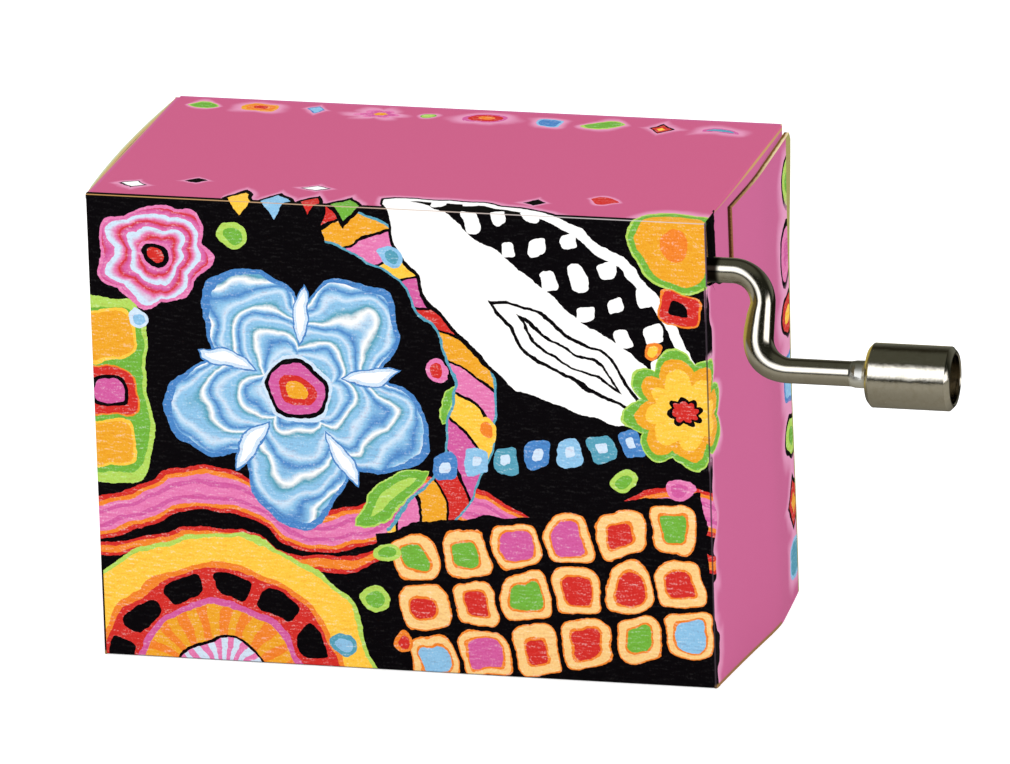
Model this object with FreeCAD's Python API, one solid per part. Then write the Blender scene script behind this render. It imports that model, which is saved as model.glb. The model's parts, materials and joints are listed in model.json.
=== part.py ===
import FreeCAD, Part
import math
import os

Vec = FreeCAD.Vector

# The frame: +X points to the crank end, -Y to the printed front, +Z up.
# The origin lies under the middle of the carton. All sizes are in millimetres.

# Carton, folded from one sheet of printed board
carton_length = 60.0
carton_depth = 32.0
carton_height = 46.0
board = 0.5
fold_inner_radius = 0.1
glue_tab_width = 11.0
glue_tab_end_gap = 2.0

# End flaps, glued over the dust flaps at both ends
dust_flap_depth = 15.0
dust_flap_inset = 0.25
dust_flap_side_gap = 0.5
dust_flap_taper = 3.0
end_flap_back_reveal = 0.4
end_flap_glue_gap = 0.05
end_fold_inner_radius = 0.4
right_flap_notch_reveal = 1.15
right_flap_corner_reveal = 0.5
right_flap_taper = 2.9
left_flap_top_reveal = 0.15
right_flap_bow_bottom = 1.15
right_flap_bow_top = 0.4
left_flap_bow_bottom = 0.8
left_flap_bow_top = 0.8
back_panel_end_gap = 0.1
bottom_panel_back_reveal = 0.2

# Notch for the crank, in the right end flap and its top dust flap
notch_depth_y = 9.1
notch_sill_front = 6.25
notch_sill_clearance = 0.3
dust_flap_front_cut_top = 3.7
dust_flap_front_cut_low = 4.4
rod_slot_clearance = 0.45

# Crank
crank_from_front = 4.7
crank_below_top = 6.0
rod_diameter = 2.4
journal_diameter = 2.0
journal_stub = 1.8
arm_from_right_end = 4.5
arm_throw = 9.1
arm_lean_deg = 19.0
rod_bend_radius = 3.0
rod_end_head_radius = 1.7
rod_end_head_thickness = 0.7
pinch_length = 1.6
pinch_half_width = 1.6
pinch_thickness = 1.3
pinch_edge_thickness = 0.5
pinch_turn_deg = 28.0
running_clearance = 0.04

# Crank knob, a turned tube
knob_from_right_end = 15.1
knob_length = 8.2
knob_diameter = 6.1
knob_chamfer = 0.3
knob_recess_diameter = 4.7
knob_recess_depth = 2.8

# Worm drive
tooth_module = 0.5
wheel_teeth = 28
wheel_width = 3.0
worm_pitch_radius = 2.0
worm_turns = 4.5
tooth_addendum = 0.45
tooth_dedendum = 0.55
tooth_side_backlash = 0.1
flank_angle_deg = 20.0
thread_sunk = 0.06
cross_pin_diameter = 0.8
cross_pin_from_worm_end = 1.6

# Cylinder with its pins
cylinder_from_right_end = 20.0
cylinder_diameter = 13.0
cylinder_wall = 0.5
cylinder_length = 20.0
cylinder_below_wheel = 1.3
pin_diameter = 0.4
pin_height = 0.5
pin_embedded = 0.45
pin_count = 72
pin_free_degrees = 24.0
cap_thickness = 1.5
hub_diameter = 5.0
arbor_diameter = 2.0
arbor_stub = 0.6
axial_play = 0.15

# Comb
comb_teeth = 18
tooth_pitch = 1.08
tooth_gap = 0.22
tooth_tip_width = 0.5
tooth_thickness = 0.6
tooth_tip_clearance = 0.07
comb_thickness = 1.3
comb_margin = 0.25
comb_front_of_axis = 0.4
bass_tooth_length = 16.9
treble_tooth_length = 8.2
anvil_length = 9.5
comb_screw_from_left = 3.4
comb_screw_pitch = 7.2
comb_seat_setback = 1.6
weighted_teeth = 8
weight_length = 1.9
weight_thickness = 1.2
weight_tip_gap = 1.0
damper_length = 4.4
damper_thickness = 0.12
damper_tip_gap = 0.5

# Bedplate, brackets and bushes
wheel_web_gap = 1.45
bedplate_thickness = 1.5
bedplate_left_margin = 1.5
bedplate_right_margin = 3.0
bedplate_corner_radius = 3.0
boss_radius = 3.0
boss_edge_gap = 0.6
bedplate_top_margin = 0.6
bracket_thickness = 1.2
bracket_width = 5.6
bracket_wheel_gap = 0.35
ear_width = 8.0
lower_foot_height = 6.0
lower_foot_width = 16.0
bush_radius = 1.8
bush_flange_radius = 2.5
bush_flange = 0.4

# Sounding board and screws
sounding_board_thickness = 2.0
sounding_board_side_gap = 3.0
sounding_board_end_gap = 1.5
sounding_board_corner_radius = 2.0
screw_hole_clearance = 0.1
comb_screw_diameter = 2.5
comb_screw_head_diameter = 4.4
comb_screw_head_height = 1.3
comb_screw_grip = 5.0
bracket_screw_diameter = 2.0
bracket_screw_pitch = 9.2
bracket_screw_head_diameter = 3.6
bracket_screw_head_height = 1.1
mounting_screw_diameter = 2.6
mounting_screw_head_diameter = 4.6
mounting_screw_head_height = 1.5
mounting_screw_grip = 3.6
washer_diameter = 6.0
washer_thickness = 0.4
slot_width = 0.5
slot_depth_share = 0.45
head_rounding_share = 0.3

# Places worked out from the sizes above
fold_radius = board + fold_inner_radius
end_fold_radius = board + end_fold_inner_radius
right_x = carton_length / 2
front_y = -carton_depth / 2
back_y = carton_depth / 2
front_fold_y = front_y + fold_radius
back_fold_y = back_y - fold_radius
top_fold_z = carton_height - fold_radius
end_flap_standoff = board - dust_flap_inset + end_flap_glue_gap
dust_face_x = right_x - dust_flap_inset
dust_fold_x = dust_face_x - fold_radius
end_fold_x = right_x + end_flap_standoff - end_fold_radius
end_fold_y = front_y + end_fold_radius

crank_y = front_y + crank_from_front
crank_z = carton_height - crank_below_top
arm_x = right_x + arm_from_right_end
knob_y = crank_y - arm_throw * math.sin(math.radians(arm_lean_deg))
knob_z = crank_z - arm_throw * math.cos(math.radians(arm_lean_deg))
knob_start_x = right_x + knob_from_right_end
knob_end_x = knob_start_x + knob_length
notch_sill_low_z = crank_z - rod_diameter / 2 - notch_sill_clearance
notch_sill_front_z = carton_height - notch_sill_front
notch_back_y = front_y + notch_depth_y

worm_lead = math.pi * tooth_module
wheel_pitch_radius = wheel_teeth * tooth_module / 2
wheel_tip_radius = wheel_pitch_radius + tooth_addendum
cylinder_x = right_x - cylinder_from_right_end
cylinder_y = crank_y + worm_pitch_radius + wheel_pitch_radius
wheel_low_z = crank_z - wheel_width / 2
wheel_top_z = crank_z + wheel_width / 2
cylinder_radius = cylinder_diameter / 2
cylinder_top_z = wheel_low_z - cylinder_below_wheel
cylinder_low_z = cylinder_top_z - cylinder_length
cylinder_mid_z = (cylinder_top_z + cylinder_low_z) / 2

bracket_left_x = cylinder_x - wheel_tip_radius - bracket_wheel_gap - bracket_thickness
bracket_right_x = cylinder_x + wheel_tip_radius + bracket_wheel_gap + bracket_thickness
worm_start_x = bracket_left_x + bracket_thickness + bush_flange + axial_play
worm_end_x = bracket_right_x - bracket_thickness - bush_flange - axial_play
journal_start_x = bracket_left_x - journal_stub
journal_end_x = bracket_right_x + 2 * axial_play
upper_ear_z = wheel_top_z + bush_flange + axial_play
lower_hub_z = cylinder_low_z - cylinder_below_wheel
lower_ear_top_z = lower_hub_z - axial_play - bush_flange
lower_ear_z = lower_ear_top_z - bracket_thickness

bed_y = cylinder_y + wheel_tip_radius + wheel_web_gap + bracket_thickness
bed_back_y = bed_y + bedplate_thickness
web_y = bed_y - bracket_thickness
sounding_front_y = back_y - board - sounding_board_thickness

tip_x = cylinder_x - cylinder_radius - pin_height - tooth_tip_clearance
comb_front_y = cylinder_y - comb_front_of_axis
comb_back_y = comb_front_y + comb_thickness
comb_half_width = comb_teeth * tooth_pitch / 2 + comb_margin
comb_low_z = cylinder_mid_z - comb_half_width
comb_top_z = cylinder_mid_z + comb_half_width
bass_root_x = tip_x - bass_tooth_length
treble_root_x = tip_x - treble_tooth_length
comb_left_x = bass_root_x - anvil_length

bed_left_x = comb_left_x - bedplate_left_margin
bed_right_x = bracket_right_x + bedplate_right_margin
bed_low_z = lower_ear_z - lower_foot_height
bed_top_z = upper_ear_z + bracket_thickness + bedplate_top_margin
comb_screw_x = comb_left_x + comb_screw_from_left
comb_screw_zs = [cylinder_mid_z + step * comb_screw_pitch for step in (-1, 0, 1)]
upper_screw_z = crank_z
lower_screw_z = lower_ear_z - lower_foot_height / 2
bracket_screw_xs = [cylinder_x - bracket_screw_pitch / 2, cylinder_x + bracket_screw_pitch / 2]
boss_from_edge = boss_radius + boss_edge_gap
boss_places = [
    (bed_left_x + boss_from_edge, bed_low_z + boss_from_edge),
    (bed_left_x + boss_from_edge, bed_top_z - boss_from_edge),
    (bed_right_x - boss_radius, cylinder_mid_z),
]


# Basic solids
def bar(radius, start, end):
    """A round bar from one point to another."""
    along = end.sub(start)
    return Part.makeCylinder(radius, along.Length, start, along)


def tube(outer, inner, start, end):
    """A round tube from one point to another."""
    return bar(outer, start, end).cut(bar(inner, start, end))


def block(low, high):
    """A box between two opposite corners."""
    size = high.sub(low)
    return Part.makeBox(size.x, size.y, size.z, low)


def prism(points, along):
    """A closed outline, pushed along a vector."""
    outline = Part.makePolygon(points + [points[0]])
    return Part.Face(outline).extrude(along)


def along_x(profile, start, end):
    """A (y, z) outline, pushed along X."""
    points = [Vec(start, y, z) for y, z in profile]
    return prism(points, Vec(end - start, 0, 0))


def along_y(profile, start, end):
    """An (x, z) outline, pushed along Y."""
    points = [Vec(x, start, z) for x, z in profile]
    return prism(points, Vec(0, end - start, 0))


def along_z(profile, start, end):
    """An (x, y) outline, pushed along Z."""
    points = [Vec(x, y, start) for x, y in profile]
    return prism(points, Vec(0, 0, end - start))


def arc(start, middle, end):
    """The edge of a circle through three points."""
    return Part.Arc(start, middle, end).toShape()


def line(start, end):
    """A straight edge."""
    return Part.LineSegment(start, end).toShape()


def rounded(shape, direction, radius):
    """The shape with its long edges along one direction rounded."""
    edges = []
    for edge in shape.Edges:
        if isinstance(edge.Curve, Part.Line) and edge.Curve.Direction.cross(direction).Length < 1e-6:
            edges.append(edge)
    return shape.makeFillet(radius, edges)


def group(shapes):
    """Separate solids that share one node."""
    return Part.makeCompound(shapes)


def on_circle(centre_a, centre_b, radius, degrees):
    """A point of a circle, as two coordinates."""
    angle = math.radians(degrees)
    return centre_a + radius * math.cos(angle), centre_b + radius * math.sin(angle)


def axis_point(z):
    """A point on the cylinder's axis."""
    return Vec(cylinder_x, cylinder_y, z)


# Folds of the carton
def folded_edge(centre_y, centre_z, from_degrees):
    """A quarter round of board along X, about a fold's centre."""
    points = {}
    for name, radius in (("outer", fold_radius), ("inner", fold_inner_radius)):
        for step in (0, 45, 90):
            y, z = on_circle(centre_y, centre_z, radius, from_degrees + step)
            points[name, step] = Vec(0, y, z)
    edges = [
        arc(points["outer", 0], points["outer", 45], points["outer", 90]),
        line(points["outer", 90], points["inner", 90]),
        arc(points["inner", 90], points["inner", 45], points["inner", 0]),
        line(points["inner", 0], points["outer", 0]),
    ]
    return Part.Face(Part.Wire(edges))


def fold_along_x(centre_y, centre_z, from_degrees, start, end):
    """A folded edge that runs along X."""
    face = folded_edge(centre_y, centre_z, from_degrees)
    face.translate(Vec(start, 0, 0))
    return face.extrude(Vec(end - start, 0, 0))


def front_panel():
    """Front wall with its folds to the top and the bottom; its right edge is bare beside the notch."""
    wall = block(Vec(-end_fold_x, front_y, fold_radius), Vec(right_x, front_y + board, top_fold_z))
    top = fold_along_x(front_fold_y, top_fold_z, 90, -end_fold_x, right_x)
    bottom = fold_along_x(front_fold_y, fold_radius, 180, -end_fold_x, right_x)
    below_notch = block(
        Vec(end_fold_x, front_y - board, -board), Vec(right_x + board, end_fold_y, notch_sill_front_z)
    )
    return wall.fuse([top, bottom]).cut(below_notch).removeSplitter()


def back_panel():
    """Back wall with its folds to the top and to the glue tab, and the holes of the mounting screws."""
    half = right_x - back_panel_end_gap
    wall = block(Vec(-half, back_y - board, board + fold_radius), Vec(half, back_y, top_fold_z))
    top = fold_along_x(back_fold_y, top_fold_z, 0, -half, half)
    bottom = fold_along_x(back_fold_y, board + fold_radius, 270, -half, half)
    holes = screw_holes(mounting_screw_diameter / 2 + screw_hole_clearance, back_y - board, back_y)
    return wall.fuse([top, bottom]).removeSplitter().cut(holes)


def top_panel():
    """Top wall; in front of the dust flap it reaches the end of the box."""
    low_z = carton_height - board
    wall = block(Vec(-dust_fold_x, front_fold_y, low_z), Vec(dust_fold_x, back_fold_y, carton_height))
    tab_back_y = front_y + dust_flap_front_cut_top
    tab = block(Vec(dust_fold_x, front_fold_y, low_z), Vec(right_x, tab_back_y, carton_height))
    return wall.fuse(tab).removeSplitter()


def bottom_panel():
    """Bottom wall; its bare back edge lies under the back wall."""
    back_edge_y = back_y - bottom_panel_back_reveal
    return block(Vec(-dust_fold_x, front_fold_y, 0), Vec(dust_fold_x, back_edge_y, board))


def glue_tab():
    """Strip folded in from the back wall and glued on the bottom wall."""
    half = dust_fold_x - glue_tab_end_gap
    outline = [
        (-half, back_fold_y),
        (half, back_fold_y),
        (half - dust_flap_taper, back_fold_y - glue_tab_width),
        (-half + dust_flap_taper, back_fold_y - glue_tab_width),
    ]
    return along_z(outline, board, 2 * board)


def end_flap_profile(bow, z):
    """Outline of the right end flap at one height, from the front fold to the bare back edge."""
    start = {}
    turn = {}
    face = {}
    for name, radius in (("outer", end_fold_radius), ("inner", end_fold_inner_radius)):
        x, y = on_circle(end_fold_x, end_fold_y, radius, 270)
        start[name] = Vec(x, y, z)
        x, y = on_circle(end_fold_x, end_fold_y, radius, 315)
        turn[name] = Vec(x, y, z)
        x, y = on_circle(end_fold_x, end_fold_y, radius, 0)
        face[name] = Vec(x, y, z)
    back_edge_y = back_y - end_flap_back_reveal
    end = {"outer": Vec(right_x + board, back_edge_y, z), "inner": Vec(right_x, back_edge_y, z)}
    middle = {}
    for name in ("outer", "inner"):
        middle[name] = (face[name] + end[name]) * 0.5 + Vec(bow, 0, 0)
    edges = [
        arc(start["outer"], turn["outer"], face["outer"]),
        arc(face["outer"], middle["outer"], end["outer"]),
        line(end["outer"], end["inner"]),
        arc(end["inner"], middle["inner"], face["inner"]),
        arc(face["inner"], turn["inner"], start["inner"]),
        line(start["inner"], start["outer"]),
    ]
    return Part.Wire(edges)


def end_flap(bow_bottom, bow_top, top_z):
    """A bowed end flap for the right end."""
    profiles = [end_flap_profile(bow_bottom, 0), end_flap_profile(bow_top, top_z)]
    return Part.makeLoft(profiles, True, True)


def right_end_flap():
    """Right end flap, notched for the crank."""
    back_edge_y = back_y - end_flap_back_reveal
    corner_z = carton_height - right_flap_corner_reveal
    flap = end_flap(right_flap_bow_bottom, right_flap_bow_top, corner_z)
    notch = [
        (front_y - board, notch_sill_front_z),
        (crank_y - rod_diameter / 2, notch_sill_low_z + notch_sill_clearance),
        (crank_y + rod_diameter / 4, notch_sill_low_z),
        (notch_back_y, notch_sill_low_z),
        (notch_back_y, carton_height - right_flap_notch_reveal),
        (back_edge_y, corner_z),
        (back_edge_y, carton_height),
        (front_y - board, carton_height),
    ]
    tapered_edge = [
        (back_edge_y - right_flap_taper, 0),
        (back_edge_y, corner_z),
        (back_y + board, corner_z),
        (back_y + board, 0),
    ]
    cuts = [along_x(outline, end_fold_x - board, right_x + 6 * board) for outline in (notch, tapered_edge)]
    return flap.cut(cuts)


def left_end_flap():
    """Left end flap, whole."""
    flap = end_flap(left_flap_bow_bottom, left_flap_bow_top, carton_height - left_flap_top_reveal)
    return flap.mirror(Vec(0, 0, 0), Vec(1, 0, 0))


def dust_flap_fold():
    """The quarter round that joins the right dust flap to the top wall, as a face in XZ at Y = 0."""
    corner = {}
    for name, radius in (("outer", fold_radius), ("inner", fold_inner_radius)):
        for step in (0, 45, 90):
            x, z = on_circle(dust_fold_x, top_fold_z, radius, step)
            corner[name, step] = Vec(x, 0, z)
    low = carton_height - dust_flap_depth
    edges = [
        arc(corner["outer", 90], corner["outer", 45], corner["outer", 0]),
        line(corner["outer", 0], Vec(dust_face_x, 0, low)),
        line(Vec(dust_face_x, 0, low), Vec(dust_face_x - board, 0, low)),
        line(Vec(dust_face_x - board, 0, low), corner["inner", 0]),
        arc(corner["inner", 0], corner["inner", 45], corner["inner", 90]),
        line(corner["inner", 90], corner["outer", 90]),
    ]
    return Part.Face(Part.Wire(edges))


def dust_flap():
    """A whole dust flap at the right end, folded down from the top wall."""
    half = carton_depth / 2 - board - dust_flap_side_gap
    face = dust_flap_fold()
    face.translate(Vec(0, -half, 0))
    sheet = face.extrude(Vec(0, 2 * half, 0))
    low = carton_height - dust_flap_depth
    outline = [
        (-half, carton_height),
        (half, carton_height),
        (half, low + 2 * dust_flap_taper),
        (half - dust_flap_taper, low),
        (-half + dust_flap_taper, low),
        (-half, low + 2 * dust_flap_taper),
    ]
    return sheet.common(along_x(outline, dust_fold_x, dust_face_x))


def right_top_dust_flap():
    """Top dust flap at the crank end, cut back in front and slotted round the rod."""
    slot_radius = rod_diameter / 2 + rod_slot_clearance
    cut_top_y = front_y + dust_flap_front_cut_top
    cut_low_y = front_y + dust_flap_front_cut_low
    low = carton_height - dust_flap_depth
    front_cut = [
        (front_y, carton_height),
        (cut_top_y, carton_height),
        (cut_low_y, crank_z),
        (crank_y + slot_radius, crank_z),
        (crank_y + slot_radius, low),
        (front_y, low),
    ]
    cuts = [
        along_x(front_cut, dust_fold_x, right_x),
        bar(slot_radius, Vec(dust_fold_x, crank_y, crank_z), Vec(right_x, crank_y, crank_z)),
    ]
    return dust_flap().cut(cuts)


def right_bottom_dust_flap():
    """Bottom dust flap at the crank end."""
    return dust_flap().mirror(Vec(0, 0, carton_height / 2), Vec(0, 0, 1))


def left_top_dust_flap():
    """Top dust flap at the far end."""
    return dust_flap().mirror(Vec(0, 0, 0), Vec(1, 0, 0))


def left_bottom_dust_flap():
    """Bottom dust flap at the far end."""
    return right_bottom_dust_flap().mirror(Vec(0, 0, 0), Vec(1, 0, 0))


# Screws
def screw_holes(radius, start_y, end_y):
    """Holes along Y at the places of the mounting screws."""
    return [bar(radius, Vec(x, start_y, z), Vec(x, end_y, z)) for x, z in boss_places]


def slotted_screw(x, z, face_y, facing, radius, head_radius, head_height, grip):
    """A screw along Y with its head on a face; facing is +1 or -1, the way the head points."""
    head_end_y = face_y + facing * head_height
    head = bar(head_radius, Vec(x, face_y, z), Vec(x, head_end_y, z))
    rim = [edge for edge in head.Edges if abs(edge.CenterOfMass.y - head_end_y) < 1e-6]
    head = head.makeFillet(head_rounding_share * head_height, rim)
    shank = bar(radius, Vec(x, face_y, z), Vec(x, face_y - facing * grip, z))
    slot_floor_y = head_end_y - facing * slot_depth_share * head_height
    low_y, high_y = sorted((slot_floor_y, head_end_y + facing * head_height))
    slot = block(
        Vec(x - head_radius, low_y, z - slot_width / 2), Vec(x + head_radius, high_y, z + slot_width / 2)
    )
    return head.fuse(shank).cut(slot)


def mounting_screws():
    """Three screws from the back into the bosses of the bedplate."""
    head_face_y = back_y + washer_thickness
    through = washer_thickness + board + sounding_board_thickness
    radius = mounting_screw_diameter / 2
    head_radius = mounting_screw_head_diameter / 2
    grip = through + mounting_screw_grip
    screws = []
    for x, z in boss_places:
        screws.append(
            slotted_screw(x, z, head_face_y, 1, radius, head_radius, mounting_screw_head_height, grip)
        )
    return group(screws)


def mounting_washers():
    """A flat washer under the head of each mounting screw."""
    bore = mounting_screw_diameter / 2 + screw_hole_clearance
    end_y = back_y + washer_thickness
    washers = []
    for x, z in boss_places:
        washers.append(tube(washer_diameter / 2, bore, Vec(x, back_y, z), Vec(x, end_y, z)))
    return group(washers)


def comb_screws():
    """Three screws that hold the comb on its seat."""
    grip = comb_thickness + comb_screw_grip
    radius = comb_screw_diameter / 2
    head_radius = comb_screw_head_diameter / 2
    screws = []
    for z in comb_screw_zs:
        screws.append(
            slotted_screw(
                comb_screw_x, z, comb_front_y, -1, radius, head_radius, comb_screw_head_height, grip
            )
        )
    return group(screws)


def bracket_screws():
    """Two screws in the worm bracket and two in the lower cylinder bracket."""
    grip = bracket_thickness + bedplate_thickness
    radius = bracket_screw_diameter / 2
    head_radius = bracket_screw_head_diameter / 2
    screws = []
    for x in bracket_screw_xs:
        for z in (upper_screw_z, lower_screw_z):
            screws.append(
                slotted_screw(x, z, web_y, -1, radius, head_radius, bracket_screw_head_height, grip)
            )
    return group(screws)


# Fixed parts of the movement
def sounding_board():
    """Thin board glued inside the back wall, which carries the movement and its sound."""
    half = dust_face_x - board - sounding_board_side_gap
    low = Vec(-half, sounding_front_y, 2 * board + sounding_board_end_gap)
    high = Vec(half, back_y - board, carton_height - board - sounding_board_end_gap)
    plate = rounded(block(low, high), Vec(0, 1, 0), sounding_board_corner_radius)
    holes = screw_holes(mounting_screw_diameter / 2 + screw_hole_clearance, sounding_front_y, back_y)
    return plate.cut(holes)


def comb_seat_outline():
    """The (x, z) outline of the raised seat under the comb."""
    return [
        (comb_left_x, comb_low_z),
        (bass_root_x - comb_seat_setback, comb_low_z),
        (treble_root_x - comb_seat_setback, comb_top_z),
        (comb_left_x, comb_top_z),
    ]


def bedplate():
    """Die-cast bedplate with the comb seat in front and three bosses at the back."""
    plate = block(Vec(bed_left_x, bed_y, bed_low_z), Vec(bed_right_x, bed_back_y, bed_top_z))
    plate = rounded(plate, Vec(0, 1, 0), bedplate_corner_radius)
    seat = along_y(comb_seat_outline(), comb_back_y, bed_y)
    bosses = []
    for x, z in boss_places:
        bosses.append(bar(boss_radius, Vec(x, bed_back_y, z), Vec(x, sounding_front_y, z)))
    casting = plate.fuse([seat] + bosses)
    holes = []
    screw_radius = mounting_screw_diameter / 2
    screw_end_y = sounding_front_y - mounting_screw_grip
    for x, z in boss_places:
        holes.append(bar(screw_radius, Vec(x, screw_end_y, z), Vec(x, sounding_front_y, z)))
    for z in comb_screw_zs:
        start = Vec(comb_screw_x, comb_back_y, z)
        holes.append(bar(comb_screw_diameter / 2, start, start + Vec(0, comb_screw_grip, 0)))
    for x in bracket_screw_xs:
        for z in (upper_screw_z, lower_screw_z):
            holes.append(bar(bracket_screw_diameter / 2, Vec(x, bed_y, z), Vec(x, bed_back_y, z)))
    return casting.cut(holes).removeSplitter()


def ear(low_z):
    """A plate along XY that carries one end of the cylinder, with a round nose."""
    half = ear_width / 2
    top_z = low_z + bracket_thickness
    plate = block(Vec(cylinder_x - half, cylinder_y, low_z), Vec(cylinder_x + half, bed_y, top_z))
    nose = bar(half, axis_point(low_z), axis_point(top_z))
    hole = bar(bush_radius, axis_point(low_z), axis_point(top_z))
    return plate.fuse(nose).cut(hole)


def cheek(start_x):
    """A plate along YZ that carries the crank shaft, with a round nose."""
    half = bracket_width / 2
    end_x = start_x + bracket_thickness
    plate = block(Vec(start_x, crank_y, crank_z - half), Vec(end_x, bed_y, crank_z + half))
    nose = bar(half, Vec(start_x, crank_y, crank_z), Vec(end_x, crank_y, crank_z))
    hole = bar(bush_radius, Vec(start_x, crank_y, crank_z), Vec(end_x, crank_y, crank_z))
    return plate.fuse(nose).cut(hole)


def bracket_holes(z):
    """Clearance holes along Y for the two screws of a bracket."""
    radius = bracket_screw_diameter / 2 + screw_hole_clearance
    return [bar(radius, Vec(x, web_y, z), Vec(x, bed_y, z)) for x in bracket_screw_xs]


def worm_bracket():
    """Bent bracket: two cheeks for the crank shaft and an ear for the top of the cylinder."""
    web = block(
        Vec(bracket_left_x, web_y, crank_z - bracket_width / 2),
        Vec(bracket_right_x, bed_y, upper_ear_z + bracket_thickness),
    )
    cheeks = [cheek(bracket_left_x), cheek(bracket_right_x - bracket_thickness)]
    return web.fuse(cheeks + [ear(upper_ear_z)]).cut(bracket_holes(upper_screw_z)).removeSplitter()


def lower_cylinder_bracket():
    """Bent bracket with an ear for the lower end of the cylinder."""
    foot = block(
        Vec(cylinder_x - lower_foot_width / 2, web_y, bed_low_z),
        Vec(cylinder_x + lower_foot_width / 2, bed_y, lower_ear_top_z),
    )
    return foot.fuse(ear(lower_ear_z)).cut(bracket_holes(lower_screw_z)).removeSplitter()


def flanged_bush(start, end, bore_radius):
    """A bush from one face of its plate to the other, with a flange past the end point."""
    direction = end.sub(start)
    direction.normalize()
    flange_end = end + direction * bush_flange
    body = bar(bush_radius, start, end).fuse(bar(bush_flange_radius, end, flange_end))
    return body.cut(bar(bore_radius, start, flange_end))


def inner_crank_bush():
    """Bush of the crank shaft in the left cheek."""
    start = Vec(bracket_left_x, crank_y, crank_z)
    end = start + Vec(bracket_thickness, 0, 0)
    return flanged_bush(start, end, journal_diameter / 2 + running_clearance)


def outer_crank_bush():
    """Bush of the crank shaft in the right cheek."""
    start = Vec(bracket_right_x, crank_y, crank_z)
    end = start - Vec(bracket_thickness, 0, 0)
    return flanged_bush(start, end, journal_diameter / 2 + running_clearance)


def upper_arbor_bush():
    """Bush of the cylinder arbor in the upper ear."""
    start = Vec(cylinder_x, cylinder_y, upper_ear_z + bracket_thickness)
    end = start - Vec(0, 0, bracket_thickness)
    return flanged_bush(start, end, arbor_diameter / 2 + running_clearance)


def lower_arbor_bush():
    """Bush of the cylinder arbor in the lower ear."""
    start = Vec(cylinder_x, cylinder_y, lower_ear_z)
    end = start + Vec(0, 0, bracket_thickness)
    return flanged_bush(start, end, arbor_diameter / 2 + running_clearance)


# Comb
def tooth_z(index):
    """Height of a tooth's middle line; tooth 0 is the longest."""
    return cylinder_mid_z + (index - (comb_teeth - 1) / 2) * tooth_pitch


def root_x(z):
    """Where the slanted root line lies at one height."""
    share = (z - comb_low_z) / (comb_top_z - comb_low_z)
    return bass_root_x + share * (treble_root_x - bass_root_x)


def comb():
    """Steel comb: a thick anvil and thin tapered teeth."""
    anvil = [
        (comb_left_x, comb_low_z),
        (bass_root_x, comb_low_z),
        (treble_root_x, comb_top_z),
        (comb_left_x, comb_top_z),
    ]
    solid = along_y(anvil, comb_front_y, comb_back_y)
    teeth = []
    half_root = (tooth_pitch - tooth_gap) / 2
    half_tip = tooth_tip_width / 2
    for index in range(comb_teeth):
        z = tooth_z(index)
        start_x = root_x(z) - tooth_pitch
        outline = [
            (start_x, z - half_root),
            (tip_x - weight_tip_gap, z - half_root),
            (tip_x, z - half_tip),
            (tip_x, z + half_tip),
            (tip_x - weight_tip_gap, z + half_root),
            (start_x, z + half_root),
        ]
        teeth.append(along_y(outline, comb_front_y, comb_front_y + tooth_thickness))
    holes = []
    radius = comb_screw_diameter / 2 + screw_hole_clearance
    for z in comb_screw_zs:
        holes.append(bar(radius, Vec(comb_screw_x, comb_front_y, z), Vec(comb_screw_x, comb_back_y, z)))
    return solid.fuse(teeth).cut(holes).removeSplitter()


def comb_weights():
    """Lead weights under the tips of the long teeth."""
    back_y_of_teeth = comb_front_y + tooth_thickness
    half = (tooth_pitch - tooth_gap) / 2
    weights = []
    for index in range(weighted_teeth):
        z = tooth_z(index)
        low = Vec(tip_x - weight_tip_gap - weight_length, back_y_of_teeth, z - half)
        high = Vec(tip_x - weight_tip_gap, back_y_of_teeth + weight_thickness, z + half)
        weights.append(block(low, high))
    return group(weights)


def comb_dampers():
    """Thin damper feathers under the short teeth."""
    back_y_of_teeth = comb_front_y + tooth_thickness
    half = tooth_tip_width / 2
    feathers = []
    for index in range(weighted_teeth, comb_teeth):
        z = tooth_z(index)
        low = Vec(tip_x - damper_tip_gap - damper_length, back_y_of_teeth, z - half)
        high = Vec(tip_x - damper_tip_gap, back_y_of_teeth + damper_thickness, z + half)
        feathers.append(block(low, high))
    return group(feathers)


# Cylinder
def cylinder_tube():
    """Brass tube that carries the pins."""
    inner = cylinder_radius - cylinder_wall
    return tube(cylinder_radius, inner, axis_point(cylinder_low_z), axis_point(cylinder_top_z))


def pin_places():
    """Track and angle of each pin: runs up and down the teeth, as a made-up tune would have."""
    places = []
    step = (360.0 - 2 * pin_free_degrees) / (pin_count - 1)
    for index in range(pin_count):
        run = index % (2 * comb_teeth - 2)
        track = (run if run < comb_teeth else 2 * comb_teeth - 2 - run) * 5 % comb_teeth
        places.append((track, 180.0 + pin_free_degrees + step * index))
    return places


def cylinder_pins():
    """Steel pins that stand out of the tube, each on the track of one tooth."""
    inner = cylinder_radius - pin_embedded
    outer = cylinder_radius + pin_height
    pins = []
    for track, degrees in pin_places():
        z = tooth_z(track)
        start_x, start_y = on_circle(cylinder_x, cylinder_y, inner, degrees)
        end_x, end_y = on_circle(cylinder_x, cylinder_y, outer, degrees)
        pins.append(bar(pin_diameter / 2, Vec(start_x, start_y, z), Vec(end_x, end_y, z)))
    return group(pins)


def end_cap(face_z, inward, hub_end_z):
    """A disc that closes one end of the tube, with a hub outside it."""
    inner_z = face_z + inward * cap_thickness
    disc = bar(cylinder_radius - cylinder_wall, axis_point(face_z), axis_point(inner_z))
    hub = bar(hub_diameter / 2, axis_point(face_z), axis_point(hub_end_z))
    bore = bar(arbor_diameter / 2, axis_point(lower_hub_z), axis_point(wheel_low_z))
    return disc.fuse(hub).cut(bore)


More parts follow.
